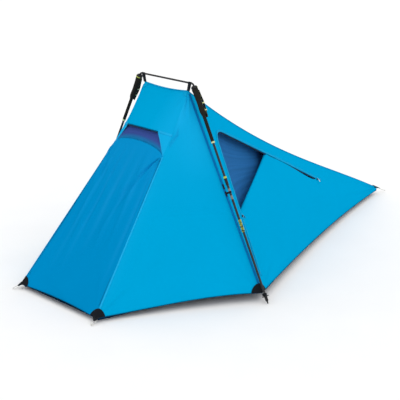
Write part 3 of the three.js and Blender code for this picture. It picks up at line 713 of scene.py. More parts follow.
def hood_folds(points):
    total = fans(points, (-0.9, 0, 0.35), (
        (ridge_corner, (-0.55, 0.25, -0.80), 0.0018, 13, 0.45, 0.16),
        (far(RIDGE_CORNER), (-0.55, -0.25, -0.80), 0.0018, 13, 0.45, 0.16, 0.7),
    ))
    return total + seeded_waves(points, 13, 8, 0.40, 0.15, 0.0008)


def hood_painted_highlight(points):
    # Painted highlight on the hood, lighter towards its near side.
    return 0.45 * np.clip((-points[..., 1] - 0.04) / 0.12, 0, 1)


def tail_folds(points):
    zip_end = door_point(ZIP_END_A, ZIP_LINE_B)
    side_zip = door_point(side_edge_a(SIDE_ZIP_END_B), SIDE_ZIP_END_B)
    total = fans(points, tail_out, (
        (near(TAIL_HIGH), (-0.90, -0.25, 0.18), 0.0035, 20, 0.22, 0.50),
        (near(POLE_FOOT_CORNER), (0.70, 0.22, 0.45), 0.0040, 13, 0.5, 0.34, 0.6),
        (ridge_corner, (0.62, -0.20, -0.62), 0.0028, 14, 0.4, 0.26, 1.4),
    ))
    total += crease(points, zip_end, zip_end + np.array((-0.04, -0.34, -0.12)), 0.012, -0.0035, 0.10)
    total += crease(points, side_zip, side_zip + np.array((0.30, 0.12, 0.10)), 0.014, 0.0030, 0.10)
    total += crease(points, door_point(*FOLD_BOTTOM), door_point(0.92, -0.62), 0.020, 0.0035, 0.14)
    return total + seeded_waves(points, 14, 12, 0.70, 0.22, 0.0012)


def ridge_folds(points):
    total = fans(points, (0.4, 0, 0.9), (
        (ridge_corner, (0.80, 0.20, -0.55), 0.0025, 12, 0.4, 0.22),
        (far(RIDGE_CORNER), (0.80, -0.20, -0.55), 0.0025, 12, 0.4, 0.22, 0.9),
    ))
    return total + seeded_waves(points, 15, 10, 0.60, 0.20, 0.0008)


# --- The door's own frame: a runs along the ridge, b up in the panel's plane, out leaves the tent ---
def door_point(a, b, out=0.0):
    return ridge_corner + ridge_along * a + tail_up * b + tail_out * out


def door_coordinates(points):
    away = points - ridge_corner
    return away @ ridge_along, away @ tail_up


side_edge_slope = (FOLD_BOTTOM[0] - DOOR_CORNER_A) / (ZIP_LINE_B - FOLD_BOTTOM[1])
CORNER_START_B = ZIP_LINE_B - DOOR_CORNER_ROUND
CORNER_END_A = DOOR_CORNER_A + DOOR_CORNER_ROUND


def side_edge_a(b):
    return DOOR_CORNER_A + (ZIP_LINE_B - b) * side_edge_slope


def quadratic(start, control, end, steps):
    """Points along the curve from start to end that leaves and arrives towards the control point."""
    t = np.linspace(0, 1, steps)[:, None]
    start, control, end = map(np.asarray, (start, control, end))
    return (1 - t) ** 2 * start + 2 * t * (1 - t) * control + t**2 * end


def door_corner_path(offset=0.0):
    """The rounded top corner of the doorway, from the pole side to the zip line, as (a, b) points."""
    low = (side_edge_a(CORNER_START_B) - offset, CORNER_START_B)
    return quadratic(low, (DOOR_CORNER_A - offset, ZIP_LINE_B + offset), (CORNER_END_A, ZIP_LINE_B + offset), 14)


def fold_edge():
    """The fold's line, which the panel, the flap and the roll between them all end on."""
    return np.linspace(FOLD_TOP, FOLD_BOTTOM, 34)


def doorway_outline():
    """The open corner of the door with the open zip beyond it, anticlockwise seen from outside."""
    slider_rise = 0.006
    side = np.linspace(FOLD_BOTTOM, (side_edge_a(CORNER_START_B), CORNER_START_B), 26)[:-1]
    top = np.linspace((CORNER_END_A, ZIP_LINE_B), (ZIP_TAIL_A, ZIP_LINE_B + slider_rise), 60)
    # The slit opens towards the slider and closes to a point under it.
    share = np.linspace(1, 0.02, 40)
    opening = SLIT_GAP * (0.22 * (1 - share) + 3.3 * share**3 * np.sqrt(1 - share**2))
    lip_a = FOLD_TOP[0] + (ZIP_TAIL_A - FOLD_TOP[0]) * share
    lower_lip = np.stack([lip_a, ZIP_LINE_B + slider_rise * share - opening], axis=-1)
    return np.concatenate([side, door_corner_path()[:-1], top[:-1], lower_lip[:-1], fold_edge()[:-1]])


def find_uv(surface, targets, measure):
    """The (u, v) of a surface at which measure(point) gives each target pair, by a coarse search and Newton steps."""
    search = np.linspace(0, 1, 81)
    gu, gv = np.meshgrid(search, search)
    ga, gb = measure(surface(gu, gv))
    ga, gb, gu, gv = ga.ravel(), gb.ravel(), gu.ravel(), gv.ravel()
    gap = (targets[:, :1] - ga[None]) ** 2 + (targets[:, 1:] - gb[None]) ** 2
    best = gap.argmin(axis=1)
    u, v = gu[best], gv[best]
    step = 1e-4
    for _ in range(12):
        a, b = measure(surface(u, v))
        au, bu = measure(surface(u + step, v))
        av, bv = measure(surface(u, v + step))
        fa, fb = targets[:, 0] - a, targets[:, 1] - b
        j00, j01, j10, j11 = (au - a) / step, (av - a) / step, (bu - b) / step, (bv - b) / step
        det = j00 * j11 - j01 * j10
        u = np.clip(u + (fa * j11 - fb * j01) / det, 0, 1)
        v = np.clip(v + (fb * j00 - fa * j10) / det, 0, 1)
    return np.stack([u, v], axis=-1)


def inside_polygon(points, polygon):
    """Which 2-D points lie inside a closed polygon."""
    x, y = points[:, 0], points[:, 1]
    inside = np.zeros(len(points), bool)
    for (x0, y0), (x1, y1) in zip(polygon, np.roll(polygon, -1, axis=0)):
        crosses = (y0 > y) != (y1 > y)
        where = x0 + (y - y0) * (x1 - x0) / (y1 - y0 if y1 != y0 else 1e-12)
        inside ^= crosses & (x < where)
    return inside


def trimmed_sheet(name, hole_uv, columns, rows, keep_inside=False):
    """The near tail panel triangulated in its own u and v, without (or only) what lies inside an outline."""
    u, v = np.meshgrid(np.linspace(0, 1, columns), np.linspace(0, 1, rows))
    grid = np.stack([u.ravel(), v.ravel()], axis=-1)
    ring_gap = np.abs(grid[:, None] - hole_uv[None]).max(axis=2).min(axis=1)
    grid = grid[ring_gap > 0.35 / max(columns, rows)]
    if keep_inside:
        grid = grid[inside_polygon(grid, hole_uv)]
    count = len(hole_uv)
    points = [Vector(p) for p in np.concatenate([hole_uv, grid])]
    found = delaunay_2d_cdt(points, [(i, (i + 1) % count) for i in range(count)], [], 0, 1e-7)
    flat = np.array([tuple(p) for p in found[0]])
    faces = np.array([tuple(f) for f in found[2] if len(f) == 3])
    faces = faces[inside_polygon(flat[faces].mean(axis=1), hole_uv) == keep_inside]
    points = relieved_tail(flat)
    used = np.unique(faces)
    renumber = np.full(len(flat), -1)
    renumber[used] = np.arange(len(used))
    uvs = np.stack(door_coordinates(points[used]), -1)
    mesh = mesh_from(name, points[used], renumber[faces].tolist(), uvs)
    return smooth(add_object(name, mesh, CANOPY_CLOTH))


def relieved_tail(uv):
    """Points of the tail panel with its folds, at rows of (u, v)."""
    u, v = uv[:, 0], uv[:, 1]
    base = tail_surface(u, v)
    relief = tail_folds(base) * edge_hold(u, v, SEAM_HOLD)
    return base + normals_of(tail_surface, u, v) * relief[:, None]


def door_uv(outline):
    return find_uv(tail_surface, np.asarray(outline, float), door_coordinates)


# --- Canopy ---
SEAM_HOLD = 0.05


def make_panels():
    """The six whole panels of the canopy, each one continuous curved sheet that meets its neighbours on a seam."""
    def far_side(field):
        return lambda points: field(mirror_y(points))

    plain = (
        ("foot_panel", foot_surface, foot_folds, foot_painted_highlight, 150, 150),
        ("near_side_panel", side_surface, side_folds, side_painted_highlight, 120, 130),
        ("far_side_panel", mirrored(side_surface), far_side(side_folds), far_side(side_painted_highlight), 120, 130),
        ("hood_panel", hood_surface, hood_folds, hood_painted_highlight, 90, 60),
        ("ridge_panel", ridge_surface, ridge_folds, None, 60, 150),
        ("far_tail_panel", mirrored(tail_surface), far_side(tail_folds), None, 150, 110),
    )
    for name, surface, folds, painted_highlight, columns, rows in plain:
        u, v = np.meshgrid(np.linspace(0, 1, columns), np.linspace(0, 1, rows))
        base = surface(u, v)
        relief = folds(base) * edge_hold(u, v, SEAM_HOLD)
        points = base + normals_of(surface, u, v) * relief[..., None]
        # The foot panel gets the painted-shade copy of the canopy cloth.
        material = SHADED_FOOT_CLOTH if name == "foot_panel" else CANOPY_CLOTH
        piece = cloth_grid(name + "_cloth", points, material, stands_for=name)
        # Each panel's painted highlight is stored for its cloth's material.
        store_painted_highlight(piece, painted_highlight(base) if painted_highlight else 0 * relief)


def make_door_panel():
    piece = trimmed_sheet("near_tail_panel_cloth", door_uv(doorway_outline()), 150, 110)
    finish_piece(thicken(piece), "canopy_fabric", TENT, "near_tail_panel")


# --- The loose door corner: shaped closed, then folded back by the whole travel of its hinge ---
def joint_named(name):
    return next(j for j in frame["joints"] if j["name"] == name)


def turn_about(points, origin, axis, angle):
    away = points - origin
    c, s = math.cos(angle), math.sin(angle)
    along = (away @ axis)[..., None] * axis
    return origin + along + (away - along) * c + np.cross(axis, away) * s


def make_door_flap():
    """The loose corner is cut on the panel's own surface, so that it fills the doorway when it is unfolded."""
    joint = joint_named("door_flap_fold")
    origin, axis = np.array(joint["pos_m"], float), unit(joint["axis"])
    travel = math.radians(joint["range_deg"][1])
    trim = 0.0022
    side = np.linspace(FOLD_BOTTOM, (side_edge_a(CORNER_START_B) + trim, CORNER_START_B), 26)[:-1]
    top = np.linspace((CORNER_END_A, ZIP_LINE_B - trim), FOLD_TOP, 30)
    outline = np.concatenate([side, door_corner_path(-trim)[:-1], top[:-1], fold_edge()[:-1]])
    piece = trimmed_sheet("door_flap_cloth", door_uv(outline), 110, 90, True)
    closed = np.array([tuple(v.co) for v in piece.data.vertices])
    flat = np.stack(door_coordinates(closed), axis=-1)
    from_edge = np.linalg.norm(flat[:, None] - resample(outline, 0.008)[None], axis=-1).min(axis=1)
    slack = seeded_waves(closed, 21, 8, 0.26, 0.10, 0.0018) * np.clip(from_edge / 0.06, 0, 1) ** 2
    folded = turn_about(closed - tail_out * slack[:, None], origin, axis, -travel)
    piece.data.vertices.foreach_set("co", folded.astype(np.float32).ravel())
    piece.data.update()
    finish_piece(thicken(piece), "canopy_fabric", "door_flap_leaf", "door_flap")

    # The cloth rolls round the hinge line from the panel to the flap.
    edge = relieved_tail(door_uv(fold_edge()))
    points = np.stack([turn_about(edge, origin, axis, angle) for angle in np.linspace(0, -travel, 15)])
    roll = cloth_grid("door_fold_roll", points, CANOPY_CLOTH, thickness=0, body=None)
    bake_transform(roll)


def on_tail(path, lift=0.0):
    """Points of the tail panel's surface under a path in the door's plane, lifted off it."""
    uv = door_uv(np.asarray(path, float))
    return tail_surface(uv[:, 0], uv[:, 1]) + normals_of(tail_surface, uv[:, 0], uv[:, 1]) * lift


def resample(path, spacing):
    path = np.asarray(path, float)
    lengths = np.concatenate([[0], np.cumsum(np.linalg.norm(np.diff(path, axis=0), axis=1))])
    count = max(3, int(lengths[-1] / spacing) + 1)
    targets = np.linspace(0, lengths[-1], count)
    return np.stack([np.interp(targets, lengths, path[:, k]) for k in range(path.shape[1])], axis=-1)


def doorway_edge(offset):
    """The zip's line from the foot of the side zip, up the pole side, round the corner and along the top."""
    low, high = SIDE_ZIP_END_B, CORNER_START_B
    side = np.linspace((side_edge_a(low) - offset, low), (side_edge_a(high) - offset, high), 40)
    top = np.linspace((CORNER_END_A, ZIP_LINE_B + offset), (ZIP_END_A, ZIP_LINE_B + offset), 60)
    return np.concatenate([side[:-1], door_corner_path(offset)[:-1], top])


def make_zip():
    def tape(name, offset, spacing, lift, outline, material, **options):
        path = resample(doorway_edge(offset), spacing)
        points = on_tail(path, lift)
        sweep(name, points, outline, material, on_tail(path, lift + 0.010) - points, **options)

    # A storm flap of canopy cloth covers the zip from outside, with its free edge over the coil.
    tape("zip_storm_flap", 0.0055, 0.012, 0.0016, strap_outline(0.013, 0.0014), SEAM_CLOTH, stands_for="door_zip_tape")
    # The coil and its tape hang from the edge of the doorway.
    tape("door_zip_coil", -0.0015, 0.010, -0.0035, strap_outline(0.0085, 0.0024), ZIP_TAPE, slot="zip_tape")
    make_teeth("door_zip_teeth", resample(doorway_edge(-0.0050), 0.0045), -0.0030)


def make_teeth(name, path, lift):
    """The coil of the zip: one short bead for each turn."""
    points = on_tail(path, lift)
    along = unit(np.gradient(points, axis=0))
    normals = unit(on_tail(path, lift + 0.01) - points)
    side = np.cross(along, normals)
    vertices, faces = [], []
    corners = [(-1, -1), (1, -1), (1, 1), (-1, 1)]
    for point, a, n, s in zip(points, along, normals, side):
        start = len(vertices)
        for end, shrink in ((-0.0022, 0.7), (0.0, 1.0), (0.0022, 0.7)):
            vertices += [point + s * end + (a * x * 0.0012 + n * y * 0.0010) * shrink for x, y in corners]
        for ring in (0, 4):
            for k in range(4):
                one, two = start + ring + k, start + ring + (k + 1) % 4
                faces.append((one, two, two + 4, one + 4))
        faces += [(start + 3, start + 2, start + 1, start), (start + 8, start + 9, start + 10, start + 11)]
    piece = smooth(add_object(name, mesh_from(name, vertices, faces), BLACK_PLASTIC))
    return finish_piece(piece, "zip_tape")


CORD_STANDS_OFF = 0.22
CORD_LIFT = 0.0064


def make_slider(name, body, a, b, direction, cord_length, cord_material):
    """A zip slider with a bridge, and a cord pull knotted through it."""
    along = unit(door_point(a + direction[0], b + direction[1]) - door_point(a, b))
    uv = door_uv([(a, b)])
    normal = normals_of(tail_surface, uv[:, 0], uv[:, 1])[0]
    centre = tail_surface(uv[:, 0], uv[:, 1])[0] + normal * 0.0052
    angle = around(20)
    outline = np.stack([np.cos(angle) * (0.0045 + 0.0012 * np.cos(angle)), np.sin(angle) * 0.0026], axis=-1)
    share = np.linspace(-1, 1, 9)
    shrink = np.sqrt(np.clip(1 - (share * 0.93) ** 4, 0.1, 1))
    path = centre + along * 0.0065 * share[:, None]
    sweep(name + "_body", path, outline, BLACK_PLASTIC, normal, body, "zip_tape", scales=shrink, stands_for=name)
    arch = np.linspace(0, math.pi, 12)[:, None]
    bridge = centre + along * 0.0048 * np.cos(arch) + normal * (0.0022 + 0.0034 * np.sin(arch))
    sweep(name + "_bridge", bridge, strap_outline(0.0024, 0.0011), STEEL, np.cross(along, normal), body, "steel")

    down = unit(unit(-UP + normal * (UP @ normal)) + normal * CORD_STANDS_OFF)
    start = centre + normal * CORD_LIFT
    side = unit(np.cross(down, normal))
    turn = around(40)[:, None]
    reach = 0.5 - 0.5 * np.cos(turn)
    loop = start + down * cord_length * reach + side * 0.0030 * np.sin(turn) * (0.4 + reach)
    loop = loop + normal * 0.0008 * np.sin(2 * turn)
    sweep(name + "_cord", loop, round_outline(0.0011, 8), cord_material, normal, body, "pale_cord", closed=True)
    tab = start + down * cord_length * np.linspace(0.72, 1.12, 8)[:, None]
    bulge = (0.55, 0.9, 1.0, 1.0, 1.0, 1.0, 0.9, 0.5)
    sweep(name + "_tab", tab, round_outline(0.0030, 12, 0.6), cord_material, normal, body, "pale_cord", scales=bulge)


MESH_HINGE_DEPTH = 0.078
MESH_CORNER_DEPTH = 0.034


def make_mesh_door():
    """The insect mesh hangs slack between its hinge seam and its free corner, bound with tape all round."""
    head = door_point(1.420, -0.130, -MESH_HINGE_DEPTH)
    sill = door_point(0.400, -0.970, -MESH_HINGE_DEPTH)
    corner = door_point(0.160, -0.125, -MESH_CORNER_DEPTH)
    inward = unit(np.cross(sill - head, corner - head))
    inward = inward if inward @ tail_out < 0 else -inward
    s, t = np.meshgrid(np.linspace(0, 1, 90), np.linspace(0, 0.985, 80))
    hinge = head + (sill - head) * s[..., None]
    points = hinge + (corner - hinge) * t[..., None]
    belly = np.sin(np.pi * s) * np.sin(np.pi * t)
    folds = fan(points, corner, (head + sill) / 2 - corner, inward, 0.0022, 11, 0.6, 0.5)
    points = points + inward * (belly * 0.006 + folds * belly)[..., None]
    cloth_grid("mesh_door_cloth", points, MESH_CLOTH, 0.0004, "mesh_leaf", "mesh_fabric", "mesh_door")
    for name, start, end in (("head", head, corner), ("side", corner, sill), ("hinge", sill, head)):
        sweep("mesh_door_binding_" + name, np.linspace(start, end, 60), strap_outline(0.010, 0.0016), ZIP_TAPE, inward,
              "mesh_leaf", "zip_tape")


# --- Vent ---
MESH_BEHIND_SILL = (0.0025, 0, -0.004)
MESH_BEHIND_BRIM = (0.016, 0, -0.004)
ROD_BEHIND_BRIM = (0.004, 0, -0.009)


def shifted(curve, shift):
    return lambda t: curve(t) + np.array(shift)


def make_vent():
    """The mesh inside the vent, the stiffened brim and the two cheeks that close the vent's corners."""
    low, high = shifted(vent_sill, MESH_BEHIND_SILL), shifted(brim_curve, MESH_BEHIND_BRIM)
    side = seam(low(1.0), high(1.0))
    surface = stretched(low, high, across_y(side), side)
    points = panel_points(surface, 80, 40, lambda u, v: 0.004 * np.sin(np.pi * u) * np.sin(np.pi * v))
    cloth_grid("vent_mesh_cloth", points, HOOD_SHADED_VENT_CLOTH, 0.0004, TENT, "mesh_fabric", "vent_mesh")

    front = np.array((-0.9, 0, 0.35))
    t = np.linspace(0.0, 1.0, 60)
    free = shifted(part_of(brim_curve, 1 - BRIM_OPEN_TO, BRIM_OPEN_TO), (-0.0012, 0, -0.003))
    sweep("brim_binding", free(t), strap_outline(0.0022, 0.0085), BRIM_CLOTH, front)
    rod_line = shifted(part_of(brim_curve, 0.05, 0.95), ROD_BEHIND_BRIM)
    sweep("brim_rod_cover", rod_line(t), round_outline(0.0026, 12), BLACK_PLASTIC, front, slot="black_plastic",
          stands_for="brim_rod")

    top = part_of(brim_curve, BRIM_OPEN_TO, 1)
    cheek_front = seam(cheek_seam(0.0), top(0.0), (0.004, 0, -0.002))
    tip = 0.01
    cheek_low = seam(cheek_front(tip), cheek_seam(tip))
    cheek = stretched(cheek_low, top, part_of(cheek_front, tip, 1), part_of(cheek_seam, tip, 1))
    for name, surface in (("near", cheek), ("far", mirrored(cheek))):
        points = panel_points(surface, 30, 50)
        piece = cloth_grid(name + "_vent_cheek_cloth", points, CANOPY_CLOTH, stands_for=name + "_vent_cheek")
        # The cheeks carry the painted highlight all over.
        store_painted_highlight(piece, np.full(30 * 50, 0.75))
    wing_out = bisector((hood_surface, 0.95, 0.05), (cheek, 0.5, 0.9))
    both_sides("brim_band", top, wing_out, 0.012, 0.0012, BAND_CLOTH, samples=30, lift=0.0010)
    cheek_edge = bisector((cheek, 0.1, 0.5), (cheek, 0.5, 0.5))
    both_sides("cheek_edge_band", cheek_front, cheek_edge, 0.006, 0.0010, BAND_CLOTH, samples=30)

    # Three short rows of stitching spread the brim's pull into the side panel.
    for k in range(3):
        u = np.linspace(0.03, 0.16, 16) + 0.022 * k
        v = np.linspace(SIDE_SHARES[1] - 0.035, SIDE_SHARES[1] + 0.03, 16) - 0.012 * k
        out = normals_of(side_surface, u, v)
        path = side_surface(u, v) + out * 0.0012
        for name, turned in (("near", np.asarray), ("far", mirror_y)):
            sweep(f"{name}_brim_tack_{k}", turned(path), strap_outline(0.0016, 0.0007), BAND_CLOTH, turned(out))


# --- Seams, hems and corner reinforcements ---
def seam_strip(name, curve, outward, width, height, material, samples=90, lift=0.0006, slot="canopy_fabric"):
    path = curve(np.linspace(0, 1, samples)) + unit(outward) * lift
    sweep(name, path, strap_outline(width, height), material, outward, slot=slot)


def both_sides(name, curve, outward, *rest, **options):
    outward = np.asarray(outward, float)
    seam_strip("near_" + name, curve, outward, *rest, **options)
    seam_strip("far_" + name, across_y(curve), mirror_y(outward), *rest, **options)


def bisector(first, second):
    """A direction halfway between the outward normals of two panels, each given as (surface, u, v)."""
    total = np.zeros(3)
    for surface, u, v in (first, second):
        total = total + normals_of(surface, np.array([u]), np.array([v]))[0]
    return unit(total)


def make_seams():
    """Felled seams lie flat on the cloth. They stop where a corner patch begins."""
    foot_out = bisector((side_surface, 0.0, 0.3), (foot_surface, 1.0, 0.5))
    both_sides("foot_seam", part_of(foot_seam, 0.055, 0.995), foot_out, 0.008, 0.0012, BAND_CLOTH)
    edge_out = bisector((foot_surface, 0.97, 0.3), (foot_surface, 0.97, 0.6))
    both_sides("foot_seam_edge", lambda t: foot_surface(0.976 + 0 * t, 0.07 + 0.91 * t), edge_out, 0.0035, 0.0012,
               FOOT_SEAM_CLOTH, lift=0.0012)
    # The dark pole seam tape also stands in for the pole's painted shadow on the cloth.
    pole_out = bisector((side_surface, 1.0, 0.5), (tail_surface, 0.0, 0.5))
    both_sides("pole_seam", part_of(pole_seam, 0.045, 0.985), pole_out, 0.015, 0.0014, POLE_SEAM_AND_SHADOW_CLOTH)
    ridge_out = bisector((ridge_surface, 0.0, 0.4), (tail_surface, 0.4, 1.0))
    both_sides("ridge_seam", ridge_seam, ridge_out, 0.007, 0.0012, SEAM_CLOTH)
    hem = {"width": 0.003, "height": 0.0045, "material": HEM_CLOTH, "lift": 0.0, "slot": "floor_fabric"}
    both_sides("side_hem_tape", side_hem, (0, -1, -0.1), **hem)
    both_sides("tail_hem_tape", tail_hem, (0.25, -1, -0.1), **hem)
    seam_strip("foot_hem_tape", foot_hem, (-1, 0, -0.1), **hem)
    seam_strip("top_hem_tape", top_hem, (-0.3, 0, 1), 0.010, 0.0018, SEAM_CLOTH)


def corner_wedge(surface, corner_u, hem_length, seam_length, radius, lift, low_first, steps=14, rings=9):
    """A slice of a round patch in the lower corner of a panel. Rows run out from the corner."""
    def spot(u, v):
        return surface(np.array([float(u)]), np.array([float(v)]))[0]

    sign = 1 if corner_u == 0 else -1
    step = 0.02
    corner = spot(corner_u, 0)
    hem_way, seam_way = spot(corner_u + sign * step, 0) - corner, spot(corner_u, step) - corner
    omega = math.acos(float(unit(hem_way) @ unit(seam_way)))
    theta = np.linspace(0, omega, steps)
    theta = theta if low_first else theta[::-1]
    r = np.linspace(0.0015, radius, rings)[:, None] / math.sin(omega)
    u = np.clip(corner_u + sign * np.sin(omega - theta) * r / hem_length, 0, 1)
    v = np.clip(np.sin(theta) * r / seam_length, 0, 1)
    return surface(u, v) + normals_of(surface, u, v) * lift


def length_of(curve):
    points = curve(np.linspace(0, 1, 40))
    return float(np.linalg.norm(np.diff(points, axis=0), axis=1).sum())


def make_corner_patches():
    """Round reinforcements over the corner seams, each a wedge on two panels that share the seam's edge."""
    side_length, foot_length, tail_length = length_of(side_hem), length_of(foot_hem), length_of(tail_hem)
    foot_seam_length, pole_length = length_of(foot_seam), length_of(pole_seam)
    lift = 0.0018
    corners = (
        ("foot_patch", 0.052, (foot_surface, 1, foot_length, foot_seam_length),
         (side_surface, 0, side_length, foot_seam_length / SIDE_SHARES[0])),
        ("pole_foot_patch", 0.055, (side_surface, 1, side_length, pole_length),
         (tail_surface, 0, tail_length, pole_length)),
    )
    for name, radius, left, right in corners:
        left, right = corner_wedge(*left, radius, lift, True), corner_wedge(*right, radius, lift, False)
        far_left, far_right = mirror_y(right[:, ::-1]), mirror_y(left[:, ::-1])
        for side, one, two in (("near", left, right), ("far", far_left, far_right)):
            points = np.concatenate([one, two[:, 1:]], axis=1)
            node = f"{side}_{name}"
            piece = cloth_grid(node + "_cloth", points, PATCH_CLOTH, 0.0012, TENT, "black_webbing", node)
            piece.modifiers["thickness"].offset = 1


# --- Floor: a tub whose walls rise from the ground to the hem ---
GROUND = 0.0015
FLOOR_LEAN_AT_FOOT = 0.058
FLOOR_LEAN_AT_SIDE = 0.014


def floor_edge(s):
    """The near hem from the foot corner (0) past the pole foot (1) to the tail (2)."""
    s = np.asarray(s, float)
    first = side_hem(np.clip(s, 0, 1))
    second = tail_hem(np.clip(s - 1, 0, 1))
    return np.where(s[..., None] < 1, first, second)


def make_floor():
    inset = 0.004
    gaps = np.array([0, 0.003, 0.008, 0.015, 0.026, 0.040, 0.055, 0.075, 0.10, 0.13])
    first = gaps[:-1] / length_of(side_hem)
    s = np.concatenate([first, np.linspace(first[-1], 1, 60)[1:], np.linspace(1, 1.995, 90)[1:]])
    edge = floor_edge(s)
    half = np.abs(edge[:, 1]) - inset
    cross = []
    for width in half:
        outer = width - np.minimum(gaps, width * np.linspace(0, 0.6, len(gaps)))
        cross.append(np.concatenate([-outer[:-1], np.linspace(-outer[-1], outer[-1], 46), outer[-2::-1]]))
    y = np.stack(cross)
    x = np.repeat((edge[:, 0] + inset * (s < 0.02))[:, None], y.shape[1], axis=1)
    from_side, from_foot = half[:, None] - np.abs(y), x - x.min()
    by_foot = from_foot < from_side
    away = np.minimum(from_side, from_foot)
    # The wall leans in, most of all along the foot, and meets the ground further in where the hem is higher.
    top = np.where(by_foot, FOOT_CORNER[2], np.repeat(edge[:, 2:], y.shape[1], axis=1)) - 0.001
    side_lean = FLOOR_LEAN_AT_SIDE + np.clip(from_foot / 0.35, 0, 1) * (2.9 * top - 0.010)
    fall = np.clip(away / np.where(by_foot, FLOOR_LEAN_AT_FOOT, side_lean), 0, 1)
    points = np.stack([x, y, GROUND + (top - GROUND) * (1 - fall) ** 1.3], axis=-1)
    inner = np.clip((away - 0.05) / 0.1, 0, 1)
    points[..., 2] += np.abs(seeded_waves(points, 31, 14, 0.40, 0.12, 0.0016) * inner)
    points = points.transpose(1, 0, 2)[::-1].copy()
    cloth_grid("floor_cloth", points, FLOOR_CLOTH, 0.0006, TENT, "floor_fabric", "floor")


# --- Poles ---
TIP_HALF_SPAN = 0.771
LEAN = math.atan2(TIP_HALF_SPAN - 0.222, 1.067)
SHAFT_RADIUS = 0.0062
TURN_STEPS = 40


def on_pole(sign, points):
    """Points given in a pole's own axes, x along the tent, y to the canopy, z up the shaft from the tip."""
    points = np.asarray(points, float)
    x, y, z = points[..., 0], points[..., 1], points[..., 2]
    world_y = -TIP_HALF_SPAN + y * math.cos(LEAN) + z * math.sin(LEAN)
    world_z = -y * math.sin(LEAN) + z * math.cos(LEAN)
    return np.stack([sign * x, sign * world_y, world_z], axis=-1)


def pole_direction(sign, vector):
    return on_pole(sign, vector) - on_pole(sign, (0, 0, 0))


def turned_piece(name, sign, profile, material, slot, stands_for=None, shape=None, sharp=35):
    """A ring or plug turned from (radius, height) points; shape(radius, angle) can mould it."""
    on_axis = profile[0][0] == 0 and profile[-1][0] == 0
    vertices, uvs, rows = [], [], []
    for radius, height in profile:
        angles = around(TURN_STEPS) if radius else [0]
        rows.append(range(len(vertices), len(vertices) + len(angles)))
        for angle in angles:
            r = shape(radius, angle) if shape and radius else radius
            vertices.append((r * math.cos(angle), r * math.sin(angle), height))
            uvs.append((angle * radius, height))
    faces = []
    pairs = list(zip(rows[:-1], rows[1:]))
    if not on_axis:
        pairs.append((rows[-1], rows[0]))
    for low, high in pairs:
        for c in range(TURN_STEPS):
            d = (c + 1) % TURN_STEPS
            if len(low) == 1:
                faces.append((low[0], high[d], high[c]))
            elif len(high) == 1:
                faces.append((low[c], low[d], high[0]))
            else:
                faces.append((low[c], low[d], high[d], high[c]))
    points = on_pole(sign, np.array(vertices))
    piece = smooth(add_object(name, mesh_from(name, points, faces, uvs), material))
    piece.data.set_sharp_from_angle(angle=math.radians(sharp))
    return finish_piece(piece, slot, TENT, stands_for)


def ribbed(low, high, radius, depth, pitch):
    """The outside of a grooved grip: a rounded rib for every pitch. radius(z) gives the grip's swell."""
    steps = 6
    count = round((high - low) / pitch) * steps
    heights = [low + (high - low) * k / count for k in range(count + 1)]
    dips = [depth * (0.5 - 0.5 * math.cos(2 * math.pi * k / steps)) ** 3 for k in range(count + 1)]
    return [(radius(z) - dip, z) for z, dip in zip(heights, dips)]


def grip_shape(radius, angle):
    """The grip is deeper front to back than side to side."""
    return radius * (1 + 0.10 * math.cos(angle) ** 2 - 0.05 * math.sin(angle) ** 2)


def basket_shape(radius, angle):
    """The basket's rim is scalloped in six."""
    return radius if radius < 0.012 else radius * (1 - 0.09 * (0.5 + 0.5 * math.cos(6 * angle)) ** 2)


def grip_swell(z):
    heights = (1064, 1078, 1096, 1118, 1138, 1168, 1186, 1194)
    radii = (13.2, 14.6, 14.3, 13.3, 13.8, 14.6, 16.0, 16.6)
    return float(np.interp(z, heights, radii))


def tube_outline(low, high):
    """The outside of a shaft between two heights, with its ends eased."""
    radius, edge = SHAFT_RADIUS * 1000, 0.6
    middle = [(radius, z) for z in np.linspace(low + 4, high - 4, 24)]
    return [(radius - edge, low), (radius, low + edge), *middle, (radius, high - edge), (radius - edge, high)]


